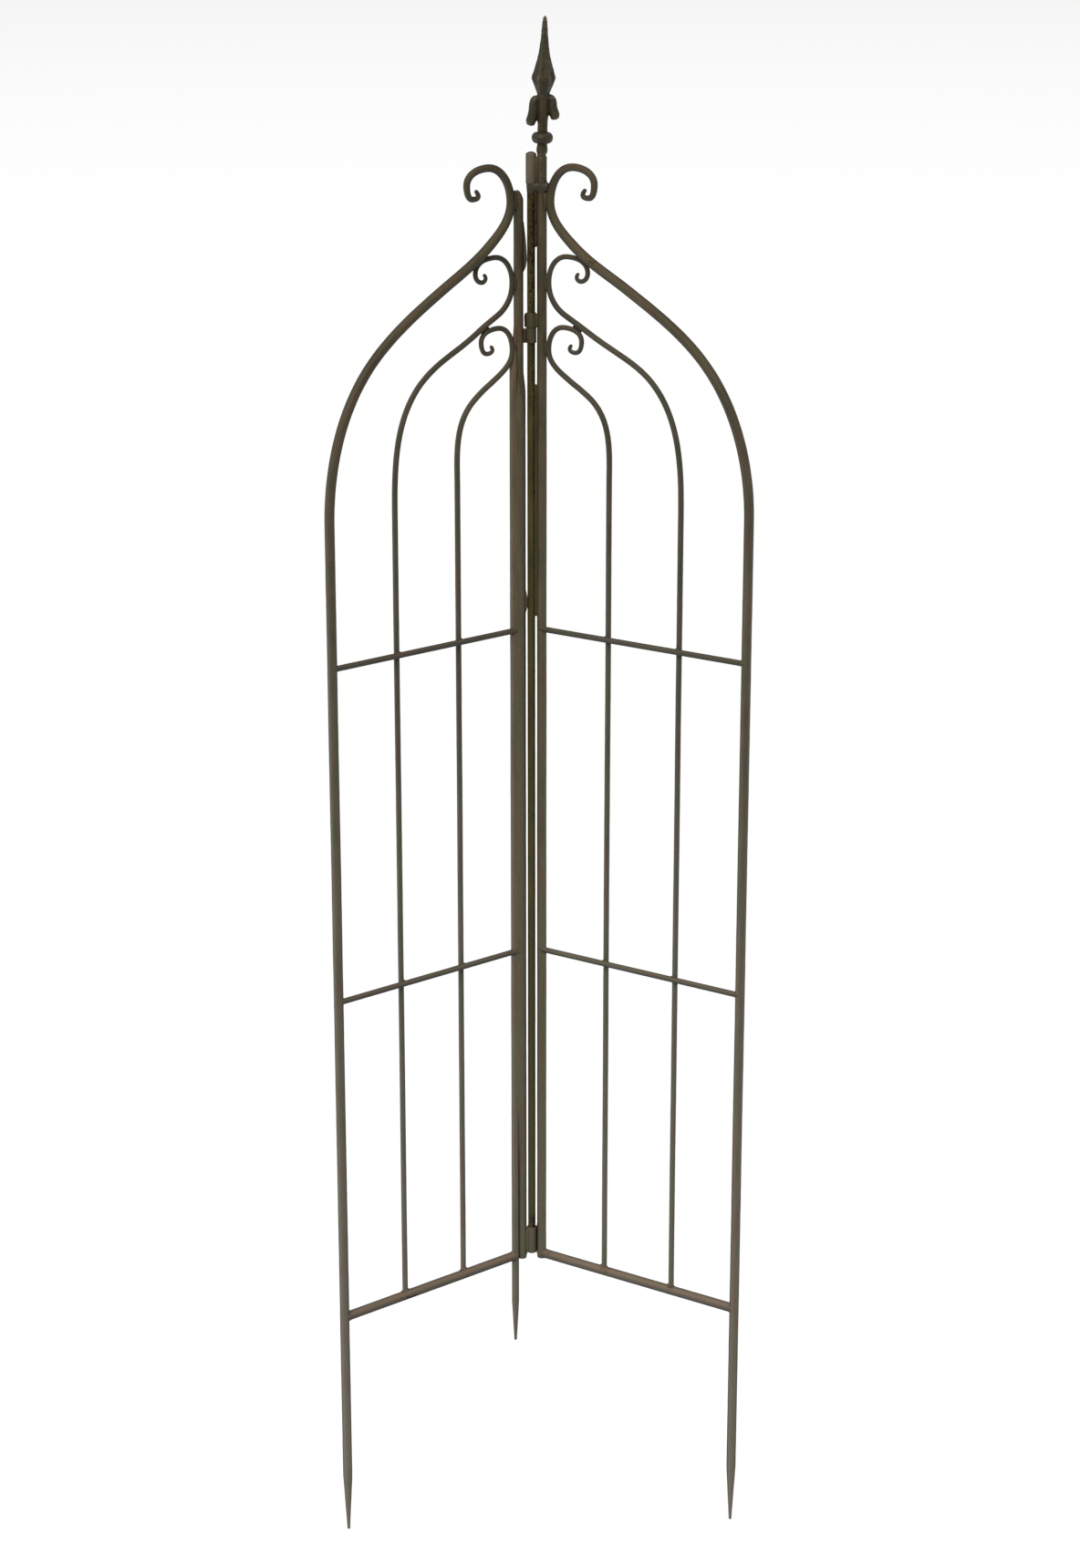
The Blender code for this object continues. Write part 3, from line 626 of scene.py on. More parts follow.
# %% Marks of the bars below the scrolls
OUTER_BEND, MIDDLE_BEND, INNER_BEND = 1.070, 1.065, 1.085
OUTER_NECK, MIDDLE_NECK = 1.316, 1.248
OUTER_SLOPE, MIDDLE_SLOPE = math.radians(40.0), math.radians(32.0)
MIDDLE_TOP = OUTER_NECK - (OUTER_R + THIN_R + 0.0008) / math.cos(OUTER_SLOPE)
INNER_TOP = MIDDLE_NECK - (2 * THIN_R + 0.0046) / math.cos(MIDDLE_SLOPE)
INNER_NECK = INNER_TOP - 0.0534
THIN_FOOT = CROSSBARS["bottom"] + 0.0024
LEAN_START, LEAN_LENGTH = 0.010, 0.030


def outer_marks(side):
    post, wide = UPPER_POST_S[side], WIDTH[side]
    return [
        (wide, 0.0, UP, 0.22), (wide, 0.0008, UP, 0.31), (wide, 0.062, UP, 1.0),
        (wide, OUTER_BEND, UP, 1.0),
        (between(post, wide, 0.762), between(OUTER_BEND, OUTER_NECK, 0.614), 135.0, 1.0),
        (between(post, wide, 0.418), between(OUTER_BEND, OUTER_NECK, 0.846), 149.7, 1.0),
        (post + 0.0367, OUTER_NECK, 140.0, 1.0),
        *scroll_marks(post, OUTER_R, OUTER_N, OUTER_SCROLL, 0.0, SPREAD[side])]


def middle_marks(side):
    post, wide = UPPER_POST_S[side], MIDDLE_S[side]
    return [
        (wide, THIN_FOOT, UP, 1.0), (wide, MIDDLE_BEND, UP, 1.0),
        (between(post, wide, 0.778), between(MIDDLE_BEND, MIDDLE_NECK, 0.694), 136.5, 1.0),
        (between(post, wide, 0.478), between(MIDDLE_BEND, MIDDLE_NECK, 0.847), 154.5, 1.0),
        (post + 0.0248, MIDDLE_NECK, 148.0, 1.0),
        *scroll_marks(post, THIN_R, POST_N, MIDDLE_SCROLL, MIDDLE_TOP)]


def inner_marks(side):
    post, wide = UPPER_POST_S[side], INNER_S[side]
    return [
        (wide, THIN_FOOT, UP, 1.0), (wide, INNER_BEND, UP, 1.0),
        (between(post, wide, 0.785), between(INNER_BEND, INNER_NECK, 0.800), 134.0, 1.0),
        (post + 0.0329, INNER_NECK, 144.0, 1.0),
        *scroll_marks(post, THIN_R, POST_N, INNER_SCROLL, INNER_TOP)]


def lean_back(side, out):
    """How far back a thin bar is: behind the crossbars, but level with the post near it."""
    share = np.clip((out - UPPER_POST_S[side] - LEAN_START) / LEAN_LENGTH, 0.0, 1.0)
    return POST_N + (THIN_N - POST_N) * share


print("tops of the middle and inner scrolls", round(MIDDLE_TOP, 4), round(INNER_TOP, 4))

# %% [markdown]
# ## All bars in one table
# Each row of the table is one bar: its line, its radius, the panel it belongs to and its finish.
# The welds further down look the lines up again, because a bead follows the groove between two
# bars.

# %% Table of bars
bars = {}
THIN_LEVEL = (CROSSBAR_N, CROSSBAR_R, 22, shaded_level_bar, "dark_bar", 0.0002)
LEVEL_STOCK = {
    "bottom": (BOTTOM_N, BOTTOM_R, 28, worn_bar, "worn_bar", 0.0003),
    "middle": THIN_LEVEL, "top": THIN_LEVEL}


def add_bar(name, side, marks, depth, radius, sides, look, slot, rounded=True,
            hammering=0.0003, wander=0.0004):
    """Adds a bar from its marks. Its depth is a number, or a rule that turns out into back."""
    flat, shares = bend_line(marks)
    if rounded:
        flat, shares = round_end(flat, shares, radius)
    deep = depth(flat[:, 0]) if callable(depth) else np.full(len(flat), depth)
    line = np.array([panel_place(side, out, back, height) for (out, height), back in zip(flat, deep)])
    bars[name] = {
        "line": line, "shares": shares, "radius": radius, "sides": sides, "side": side,
        "look": look, "slot": slot, "hammering": hammering, "wander": wander, "rust": 0.16}


for side, prefix in SIDE_NAME.items():
    add_bar(prefix + "_outer_bar", side, outer_marks(side), OUTER_N, OUTER_R, 30, dark_bar, "dark_bar")
    for label, marks in (("middle", middle_marks(side)), ("inner", inner_marks(side))):
        add_bar(f"{prefix}_{label}_bar", side, marks, lambda out, s=side: lean_back(s, out), THIN_R, 22,
                thin_bar, "dark_bar", hammering=0.00022)
    for label, height in CROSSBARS.items():
        depth, radius, sides, look, slot, hammering = LEVEL_STOCK[label]
        ends = [(out, height, OUTWARD, 1.0) for out in (CROSSBARS_FROM[side][0], WIDTH[side])]
        add_bar(f"{prefix}_{label}_crossbar", side, ends, depth, radius, sides, look, slot,
                rounded=False, hammering=hammering, wander=0.0002)
print(len(bars), "bars so far")

# %% [markdown]
# ## Hinge posts, leg and pin
# The left post has a small set in it, where it steps out past the thick rod of the middle leg.
# The pin is one long rod, fixed in the right panel, and so rusty that its surface is pitted.

# %% Posts, leg and pin
POST_FOOT = CROSSBARS["bottom"] - BOTTOM_R
RIGHT_POST_TOP = 1.400
upper = UPPER_POST_S[LEFT]
post_start = [(POST_S, POST_FOOT, UP, 0.93), (POST_S, POST_FOOT + 0.0005, UP, 1.0)]
add_bar("left_post", LEFT, [
    *post_start, (POST_S, 1.168, UP, 1.0), (upper, 1.193, UP, 1.0), (upper, 1.3575, UP, 1.0),
    (upper + 0.0007, 1.3612, UP, 0.87), (upper + 0.0015, 1.3640, UP, 0.70),
    (upper + 0.0023, 1.3660, UP, 0.46), (upper + 0.0026, 1.367, UP, 0.26)],
    POST_N, POST_R, 30, olive_bar, "olive_bar", rounded=False)
add_bar("centre_leg", LEFT, [
    (LEG_S, 0.144, UP, 0.26), (LEG_S, 0.1448, UP, 0.385), (LEG_S, 0.190, UP, 1.0),
    (LEG_S, 1.180, UP, 1.0), (LEG_S, 1.1905, UP, 0.80)],
    POST_N, LEG_R, 26, leg_paint, "dark_bar", rounded=False)
add_bar("right_post", RIGHT, [
    *post_start, (POST_S, RIGHT_POST_TOP - 0.0015, UP, 1.0), (POST_S, RIGHT_POST_TOP, UP, 0.72)],
    POST_N, POST_R, 30, olive_bar, "olive_bar", rounded=False)
add_bar("hinge_pin", RIGHT, [(0.0, 0.2441, UP, 0.99), (0.0, 1.3955, UP, 0.99)],
        0.0, PIN_R, 28, pitted_iron, "rusted_iron", rounded=False, wander=0.0)
print(len(bars), "bars in the table")

# %% [markdown]
# ## Weld beads, as a Geometry Nodes tree
# All joints are arc welded by hand and painted over, so each has a lumpy bead with faint ripples.
# A bead is a bar whose thickness rises and falls along its line. Each point of the line says how
# thick the bead is there, so one tree makes thin seams, short tacks and fat fills alike.

# %% Geometry Nodes: weld bead
weld_bead, size, wanted = geometry_tree("Weld Bead", {
    "Step": 0.00045, "Ripple Pitch": 0.0026, "Ripple Depth": 0.012, "Lumps": 0.0006, "Seed": 0.0})
tree = weld_bead
line = wire(tree, "GeometryNodeMeshToCurve", {"Mesh": size["Geometry"]})
line = wire(tree, "GeometryNodeResampleCurve", {"Curve": line, "Length": size["Step"]}, mode="LENGTH")
along = wire(tree, "GeometryNodeSplineParameter", out="Length")
turns = calc(tree, "DIVIDE", calc(tree, "MULTIPLY", along, 2 * math.pi), size["Ripple Pitch"])
ripple = calc(tree, "MULTIPLY_ADD", calc(tree, "SINE", turns), size["Ripple Depth"], 1.0)
bead = sweep(tree, line, 1.0, 12, calc(tree, "MULTIPLY", ripple, named(tree, "bead")))
bead = store(tree, bead, "bar_place", wire(tree, "GeometryNodeInputPosition"), "FLOAT_VECTOR")
spot = vector_calc(tree, "ADD", named(tree, "bar_place", "FLOAT_VECTOR"), size["Seed"])
bead = push_out(tree, bead, spot, 170.0, size["Lumps"], detail=1.0)
close_tree(tree, wanted, bead, size["Finish"])

# %% [markdown]
# ## Beads in grooves
# Two round bars that touch leave a groove on each side. The middle of a bead in that groove is
# where it touches both bars, which is plain triangle geometry at each point along the joint.

# %% Lines of the beads in grooves
FINE_STEP = 0.0005
GROOVE_SINK, BEAD_GROWTH, GAP_GROWTH = 0.75, 0.2, 0.0010
HEIGHT_PULL = 0.02
WELD_RUST = 0.34
weld_lines = {LEFT: [], RIGHT: []}


def add_weld(side, points, beads, closed=False, rusty=WELD_RUST):
    weld_lines[side].append((np.array(points), np.array(beads), closed, rusty))


def finely(bar):
    """A bar's line and radius at close, even steps."""
    line = bar["line"]
    far = np.concatenate([[0.0], np.cumsum(np.linalg.norm(np.diff(line, axis=0), axis=1))])
    spots = np.arange(0.0, far[-1], FINE_STEP)
    fine = np.column_stack([np.interp(spots, far, line[:, axis]) for axis in range(3)])
    return fine, bar["radius"] * np.interp(spots, far, bar["shares"])


def eased(rows, passes):
    """Rows of numbers with their kinks rubbed down; the first and the last stay."""
    rows = np.array(rows, float)
    for _ in range(passes):
        rows[1:-1] = (rows[:-2] + 2 * rows[1:-1] + rows[2:]) / 4
    return rows


def tapered(count, bead):
    """Bead sizes that start and end thin."""
    share = np.linspace(0.0, 1.0, count)
    return bead * np.clip(0.24 + 1.9 * np.sqrt(share * (1 - share)), 0.0, 1.0)


def groove_line(first, second, height, length, bead, facing, reach):
    """The middle of a bead in the groove between two bars, nearest to one height."""
    line, radius = finely(first)
    other, other_radius = finely(second)
    off = abs(line[:, 2] - (height - SOIL_DEPTH))
    near = np.where(off < reach)[0]
    gaps = [np.linalg.norm(other - line[i], axis=1).min() + HEIGHT_PULL * off[i] for i in near]
    middle = near[int(np.argmin(gaps))]
    steps = int(length / FINE_STEP / 2)
    spaces = np.linalg.norm(other - line[middle], axis=1)
    widest = spaces.min() - radius[middle] - other_radius[int(np.argmin(spaces))] + GAP_GROWTH
    points = []
    for i in range(max(middle - steps, 1), min(middle + steps, len(line) - 1), 2):
        j = int(np.argmin(np.linalg.norm(other - line[i], axis=1)))
        apart = other[j] - line[i]
        distance = np.linalg.norm(apart)
        if distance > radius[i] + other_radius[j] + widest:
            continue
        toward = apart / distance
        sideways = np.cross(line[i + 1] - line[i - 1], toward)
        sideways = sideways / np.linalg.norm(sideways) * np.sign(sideways[1]) * facing
        grown, other_grown = radius[i] + BEAD_GROWTH * bead, other_radius[j] + BEAD_GROWTH * bead
        level = (grown ** 2 - other_grown ** 2 + distance ** 2) / (2 * distance)
        outward = math.sqrt(max(grown ** 2 - level ** 2, 0.0)) * GROOVE_SINK
        points.append(line[i] + toward * level + sideways * outward)
    return eased(points, 12)


def print_beads():
    print("beads:", {SIDE_NAME[side]: len(lines) for side, lines in weld_lines.items()})


def groove_weld(first, second, height, length, bead, reach=0.03, rusty=WELD_RUST):
    """A bead on each side of the groove between two bars."""
    for facing in (-1, 1):
        points = groove_line(first, second, height, length, bead, facing, reach)
        add_weld(first["side"], points, tapered(len(points), bead), rusty=rusty)

# %% [markdown]
# ## Beads round ends and feet
# A level bar that ends at an upright one meets it along a saddle-shaped seam, and the foot of a
# thin upright sits on the bottom crossbar in the same way. These seams are closed rings. A larger
# fill is a line of marks that says how thick the weld metal is at each.

# %% Lines of the rings and fills
SADDLE_SEAM, SADDLE_BEAD = 0.70, 0.36
FOOT_BEAD, CROSSING_BEAD, CROSSING_R = 0.0012, 0.0011, 0.0023
FILL_STEPS = 60


def round_turns(count):
    return np.linspace(0.0, 2 * math.pi, count, endpoint=False)


def ring_weld(side, points, bead):
    add_weld(side, points, np.full(len(points), bead), closed=True)


def saddle_weld(side, level, upright, toward):
    """The seam round the end of a level bar (depth, radius, height) at an upright (out, radius)."""
    (depth, radius, height), (upright_out, upright_radius) = level, upright
    seam, points = SADDLE_SEAM * radius, []
    for turn in round_turns(30):
        back = depth + seam * math.cos(turn)
        off = min(abs(back - POST_N), upright_radius)
        out = upright_out + toward * math.sqrt(upright_radius ** 2 - off ** 2)
        points.append(panel_place(side, out, back, height + seam * math.sin(turn)))
    ring_weld(side, points, SADDLE_BEAD * radius)


def foot_weld(side, out):
    """The seam round the foot of a thin upright, on top of the bottom crossbar."""
    points = []
    for turn in round_turns(24):
        back = THIN_N + THIN_R * math.cos(turn)
        off = min(abs(back - BOTTOM_N), BOTTOM_R * 0.96)
        height = CROSSBARS["bottom"] + math.sqrt(BOTTOM_R ** 2 - off ** 2)
        points.append(panel_place(side, out + THIN_R * math.sin(turn), back, height))
    ring_weld(side, points, FOOT_BEAD)


def crossing_weld(side, out, height):
    """A small pad round the spot where a thin upright crosses behind a crossbar."""
    seam, r = CROSSBAR_N + CROSSBAR_R, CROSSING_R
    points = [panel_place(side, out + r * math.cos(turn), seam, height + r * math.sin(turn))
              for turn in round_turns(20)]
    ring_weld(side, points, CROSSING_BEAD)


def fill_weld(side, marks, rusty=WELD_RUST, on=None):
    """A fill along marks of (out, back, height, bead size), which may sit on the other panel."""
    spots = np.linspace(0, len(marks) - 1, FILL_STEPS)
    smooth = [eased(np.interp(spots, range(len(marks)), column), 10) for column in zip(*marks)]
    points = [panel_place(side, *mark) for mark in zip(*smooth[:3])]
    add_weld(side if on is None else on, points, smooth[3], rusty=rusty)


def upright_fill(side, out, back, marks, rusty=WELD_RUST, on=None):
    """A fill that runs straight up, along marks of (height, bead size)."""
    fill_weld(side, [(out, back, *mark) for mark in marks], rusty, on)

# %% [markdown]
# ## Every joint gets its bead
# The list goes joint by joint: scrolls to posts, scrolls to the bar above, crossbars to what they
# end on, and thin uprights to what they cross.

# %% Joints of the scrolls and crossbars
TOP_JOINT = {LEFT: (1.3555, 0.034), RIGHT: (1.3580, 0.036)}

for side, prefix in SIDE_NAME.items():
    post, outer, middle, inner = (
        bars[f"{prefix}_{label}"] for label in ("post", "outer_bar", "middle_bar", "inner_bar"))
    groove_weld(outer, post, *TOP_JOINT[side], 0.0029, rusty=0.24)
    groove_weld(middle, post, MIDDLE_TOP - 0.0265, 0.026, 0.0021, 0.012, rusty=0.42)
    groove_weld(inner, post, INNER_TOP - 0.0232, 0.022, 0.0021, 0.010, rusty=0.42)
    groove_weld(middle, outer, MIDDLE_TOP, 0.017, 0.0018, 0.012)
    groove_weld(inner, middle, INNER_TOP, 0.013, 0.0017, 0.010)
    for label, height in CROSSBARS.items():
        level = (*LEVEL_STOCK[label][:2], height)
        saddle_weld(side, level, CROSSBARS_FROM[side], 1)
        saddle_weld(side, level, (WIDTH[side], OUTER_R), -1)
    for out in (MIDDLE_S[side], INNER_S[side]):
        foot_weld(side, out)
        for label in ("middle", "top"):
            crossing_weld(side, out, CROSSBARS[label])
print_beads()

# %% [markdown]
# ## Beads of the hinge
# The welder ran long fills here: between the sleeve and its post, in a thick patch below it,
# and from each ring to its own post. The sleeve's patch is three fills that melt into each
# other: one round the pin, one round the post, and one that goes across to the scroll.

# %% Joints of the sleeve, rings and barrel
RING_SPLIT, RING_HEIGHT = 1.2332, 0.0147
SLEEVE_FOOT, SLEEVE_HEIGHT = 1.3730, 0.0305
BARREL_FOOT, BARREL_HEIGHT = 0.2430, 0.0306
SEAT_R, SEAT_BEAD = 0.0031, 0.0016
PATCH_Z = 1.3702


def rod(side, foot, height):
    """A stand-in for an upright tube on the hinge axis."""
    line = np.array([panel_place(side, 0.0, 0.0, z) for z in np.linspace(foot, foot + height, 12)])
    return {"line": line, "shares": np.ones(12), "radius": SLEEVE_R, "side": side}


left_post, right_post = bars["left_post"], bars["right_post"]
groove_weld(rod(RIGHT, SLEEVE_FOOT, SLEEVE_HEIGHT), right_post, 1.3865, 0.029, 0.0027, rusty=0.22)
groove_weld(rod(RIGHT, RING_SPLIT, RING_HEIGHT), right_post, 1.2405, 0.0142, 0.0026, rusty=0.44)
groove_weld(rod(LEFT, BARREL_FOOT, BARREL_HEIGHT), left_post, 0.2583, 0.029, 0.0024)
post_end = panel_place(RIGHT, POST_S, POST_N, RIGHT_POST_TOP + 0.0002)
seat_turns = np.radians(np.linspace(0.0, 360.0, 36))
add_weld(RIGHT, [post_end + SEAT_R * np.array((math.cos(t), math.sin(t), 0.0)) for t in seat_turns],
         tapered(len(seat_turns), SEAT_BEAD), rusty=0.30)
upright_fill(RIGHT, 0.0, 0.0, [
    (1.3610, 0.0032), (1.3655, 0.0042), (1.3700, 0.0045), (1.3745, 0.0044)], rusty=0.24)
upright_fill(RIGHT, POST_S, POST_N, [
    (1.3600, 0.0042), (1.3655, 0.0052), (1.3700, 0.0053), (1.3745, 0.0052), (1.3800, 0.0042)], rusty=0.24)
fill_weld(RIGHT, [
    (0.0004, 0.0, PATCH_Z, 0.0022), (0.0012, 0.0004, PATCH_Z, 0.0046),
    (0.40 * POST_S, 0.40 * POST_N, PATCH_Z, 0.0048), (0.55 * POST_S, 0.55 * POST_N, PATCH_Z, 0.0050),
    (POST_S, POST_N, PATCH_Z, 0.0051), (POST_S + 0.0052, POST_N, 1.3700, 0.0047),
    (POST_S + 0.0085, POST_N, 1.3696, 0.0040)], rusty=0.24)
print_beads()

# %% [markdown]
# ## Fills beside the pin
# Weld metal ran down beside the pin, bulges out of the left post and closes the feet of both
# posts, and a thin run stands behind the barrel. A rust-red blob sits on the upper ring, towards
# the left post. It rides on the right panel with that ring, and the fills on the left post stop
# short of it, so the hinge can turn.

# %% Fills beside the pin and at the feet
SLEEVE_RUN_SHARE, RING_RUN_SHARE = 0.455, 0.56
BLOB_OUT = 0.0055 / math.hypot(upper, POST_N)
BEHIND_BARREL = (0.00335, 0.00574)

upright_fill(RIGHT, SLEEVE_RUN_SHARE * POST_S, SLEEVE_RUN_SHARE * POST_N, [
    (1.3740, 0.0030), (1.3660, 0.0024), (1.3560, 0.0017), (1.3350, 0.0014), (1.3130, 0.0012),
    (1.3118, 0.0006)], rusty=0.56)
upright_fill(LEFT, RING_RUN_SHARE * upper, RING_RUN_SHARE * POST_N, [
    (1.2190, 0.0019), (1.2225, 0.0024), (1.2300, 0.0024), (1.2326, 0.0019)], rusty=0.46)
upright_fill(LEFT, upper * BLOB_OUT, POST_N * BLOB_OUT, [
    (1.2340, 0.0008), (1.2354, 0.0015), (1.2460, 0.0015), (1.2476, 0.0008)], rusty=0.90, on=RIGHT)
fill_weld(LEFT, [
    (0.0080, 0.0023, 1.2885, 0.0006), (0.0066, 0.0016, 1.2945, 0.0016), (0.0063, 0.00147, 1.3010, 0.0020),
    (0.0066, 0.0016, 1.3120, 0.0017), (0.0073, 0.0019, 1.3250, 0.0012), (0.0081, 0.0023, 1.3370, 0.0005)],
    rusty=0.16)
fill_weld(LEFT, [
    (0.0070, 0.0012, 0.9460, 0.0005), (0.0062, 0.0006, 0.9530, 0.0013),
    (0.0062, 0.0006, 0.9620, 0.0013), (0.0070, 0.0012, 0.9710, 0.0005)], rusty=0.16)
for side, low in ((LEFT, 0.2388), (RIGHT, 0.2396)):
    fill_weld(side, [
        (POST_S - 0.0006, POST_N, low, 0.0022), (POST_S - 0.0009, POST_N, low + 0.0022, 0.0046),
        (POST_S - 0.0008, POST_N, low + 0.0055, 0.0049), (POST_S, POST_N, low + 0.0100, 0.0042)])
upright_fill(RIGHT, *BEHIND_BARREL, [
    (BARREL_FOOT - 0.0010, 0.0006), (BARREL_FOOT + 0.0030, 0.0012), (BARREL_FOOT + 0.0270, 0.0012),
    (BARREL_FOOT + 0.0330, 0.0004)])
print_beads()

# %% [markdown]
# ## One welded piece per panel
# On the real trellis each bead is fused to its bars and moves with them. All beads of a panel go
# through the tree together, as many lines in one mesh, and ride on that panel's body.

# %% Welded pieces
for side in (LEFT, RIGHT):
    points, edges, beads, rusts = [], [], [], []
    for line, sizes, closed, rusty in weld_lines[side]:
        first, count = len(points), len(line)
        points.extend(line)
        beads.extend(sizes)
        rusts.extend([rusty] * count)
        edges.extend((first + i, first + i + 1) for i in range(count - 1))
        if closed:
            edges.append((first + count - 1, first))
    welds = run_tree(
        SIDE_NAME[side] + "_welds", line_mesh(points, edges, {"bead": beads, "rusty": rusts}),
        weld_bead, {"Seed": float(side), "Finish": weld_metal})
    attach(welds, BODY[side])
    print(SIDE_NAME[side], "welds:", len(welds.data.polygons), "faces")

# %% [markdown]
# ## Grooves filled with old paint
# Many coats of paint have closed the long groove between the left post and the leg beside it, and
# the one between the pin and the right post. Seven slim rods side by side, each a little inside
# the two bars, make one smooth fill. A last one tapers off from the end of the leg up the post.

# %% Seams and the fill at the leg's end
SEAM_RUNS, SEAM_INSIDE = 7, 0.00005
PIN_SEAM_SHARE, PIN_SEAM_R = 0.455, 0.0014


def add_seam(name, side, marks, look, slot):
    """A long fill of old paint along an upright groove: marks of (out, back, height, radius)."""
    spots = np.linspace(0, len(marks) - 1, FILL_STEPS)
    smooth = [np.interp(spots, range(len(marks)), column) for column in zip(*marks)]
    thick = max(smooth[3])
    bars[name] = {
        "line": np.array([panel_place(side, *mark) for mark in zip(*smooth[:3])]),
        "shares": np.array(smooth[3]) / thick, "radius": thick, "sides": 16, "side": side,
        "look": look, "slot": slot, "hammering": 0.0001, "wander": 0.00005, "rust": 0.12}


# The pale seam finish paints a highlight along the filled groove.
for run in range(1, SEAM_RUNS + 1):
    share = run / (SEAM_RUNS + 1)
    out, thick = between(POST_S, LEG_S, share), between(POST_R, LEG_R, share) - SEAM_INSIDE
    add_seam(f"left_seam_{run}", LEFT, [
        (out, POST_N + 0.0030, 0.310, thick * 0.5), (out, POST_N, 0.420, thick), (out, POST_N, 0.800, thick),
        (out, POST_N, 1.160, thick), (out + 0.0008, POST_N + 0.0016, 1.198, thick * 0.8)],
        seam_highlight_paint, "worn_bar")
add_seam("right_seam", RIGHT, [
    (PIN_SEAM_SHARE * POST_S, PIN_SEAM_SHARE * POST_N, height, radius) for height, radius in (
        (0.9425, 0.0006), (0.944, PIN_SEAM_R), (1.176, PIN_SEAM_R), (1.1775, 0.0006))],
    olive_bar, "olive_bar")
add_seam("leg_end_fill", LEFT, [
    (LEG_S, POST_N, 1.170, 0.0030), (LEG_S, POST_N, 1.177, 0.0037), (LEG_S, POST_N, 1.184, 0.0039),
    (LEG_S - 0.0003, POST_N, 1.190, 0.0039), (LEG_S - 0.0008, POST_N, 1.196, 0.0037),
    (0.0176, POST_N, 1.210, 0.0029), (0.0166, POST_N, 1.226, 0.0018), (0.0162, POST_N, 1.246, 0.0006)],
    leg_paint, "dark_bar")
print(len(bars), "bars and seams in the table")

# %% [markdown]
# ## Forge the bars
# Arc welding burns the paint, so rust starts at the joints and creeps along the bars. Each point
# of a bar's line gets a rust amount that falls off with its distance from the nearest bead, and
# the tree carries it to the surface, where the rust group reads it. The pin's rust follows its
# height instead: most of its paint is gone, above all over the barrel and from the rings up.

# %% Bars with rust near their joints
RUST_AT_WELD, RUST_REACH = 0.20, 0.016
# On the pin the lean puts more rust on the side away from the sun lamp: painted shade there.
PIN_RUST_AND_SHADE_LEAN = 0.16
PIN_RUST = (
    (0.244, 0.40), (0.273, 0.64), (0.288, 0.60), (0.296, 0.30), (0.90, 0.34), (1.18, 0.44),
    (1.22, 0.56), (1.30, 0.60), (1.318, 0.60), (1.373, 0.62), (1.396, 0.5))
RING_RUST = ((1.226, 0.0), (1.234, 0.08), (1.248, 0.08), (1.256, 0.0))


def rust_amounts(name, bar):
    heights = bar["line"][:, 2] + SOIL_DEPTH
    if name == "hinge_pin":
        return np.interp(heights, *zip(*PIN_RUST))
    beads = np.vstack([weld[0] for weld in weld_lines[bar["side"]]])
    gaps = np.array([np.linalg.norm(beads - point, axis=1).min() for point in bar["line"]])
    rusty = bar["rust"] + RUST_AT_WELD * np.exp(-(gaps / RUST_REACH) ** 2)
    return rusty + np.interp(heights, *zip(*RING_RUST)) if name == "left_post" else rusty


for number, (name, bar) in enumerate(bars.items()):
    edges = [(i, i + 1) for i in range(len(bar["line"]) - 1)]
    numbers = {"share": bar["shares"], "rusty": rust_amounts(name, bar)}
    piece = run_tree("forged_" + name, line_mesh(bar["line"], edges, numbers), forged_bar, {
        "Stock Radius": bar["radius"] - bar["wander"] / 3, "Profile Sides": bar["sides"],
        "Wander": bar["wander"], "Hammering": bar["hammering"], "Seed": float(number),
        "Rust And Shade Lean": PIN_RUST_AND_SHADE_LEAN if name == "hinge_pin" else 0.0, "Finish": bar["look"]})
    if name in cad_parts:
        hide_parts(name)
    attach(piece, BODY[bar["side"]])
faces = sum(len(piece.data.polygons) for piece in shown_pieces())
print("forged", len(bars), "bars,", faces, "faces with the rest")

# %% [markdown]
# ## Cast and turned skin
# The hinge tubes and the finial aren't bars. Their shape is made in mesh code, and a small tree
# then gives the surface the slight lumps of metal that was cast, welded and painted over.

# %% Geometry Nodes: uneven skin
uneven_skin, size, wanted = geometry_tree("Uneven Skin", {
    "Lump Scale": 260.0, "Lump Depth": 0.0003, "Seed": 0.0})
spot = seeded_position(uneven_skin, size["Seed"])
skin = push_out(uneven_skin, size["Geometry"], spot, size["Lump Scale"], size["Lump Depth"], still=0.66)
close_tree(uneven_skin, wanted, skin, size["Finish"])


def outward_mesh(shape):
    """A bmesh as a mesh whose faces point outwards. The bmesh goes."""
    mesh = bpy.data.meshes.new("solid")
    bmesh.ops.recalc_face_normals(shape, faces=shape.faces)
    shape.to_mesh(mesh)
    shape.free()
    return mesh


def spin_up(shape, profile, steps):
    """Turns a profile of (radius, height) round the axis, into a bmesh."""
    verts = [shape.verts.new((radius, 0.0, height)) for radius, height in profile]
    edges = [shape.edges.new(pair) for pair in zip(verts, verts[1:])]
    bmesh.ops.spin(shape, geom=verts + edges, cent=(0, 0, 0), axis=(0, 0, 1), angle=2 * math.pi,
                   steps=steps, use_merge=True)

# %% [markdown]
# ## Hinge tubes
# Each tube is turned from a profile with rounded rims. Rows of points up the wall give the skin
# something to move. The barrel is closed below by a thin rounded cup and carries the foot of the
# pin; the sleeve is closed above by a low dome.

# %% Profiles of the tubes
RIM, MERGE = 0.0006, 0.00001
DOME, SLEEVE_BORE = 0.0028, 0.0230
CUP, CUP_FLOOR = 0.0018, 0.0009


def quarter(count):
    return np.linspace(0.0, math.pi / 2, count)


def low_rim(foot):
    """A quarter round from a tube's foot into its wall."""
    return [(SLEEVE_R - RIM * (1 - math.sin(t)), foot + RIM * (1 - math.cos(t))) for t in quarter(5)]


def top_rim(top):
    return [(radius, -height) for radius, height in reversed(low_rim(-top))]


def wall(foot, top, rows):
    return [(SLEEVE_R, height) for height in np.linspace(foot, top, rows)]


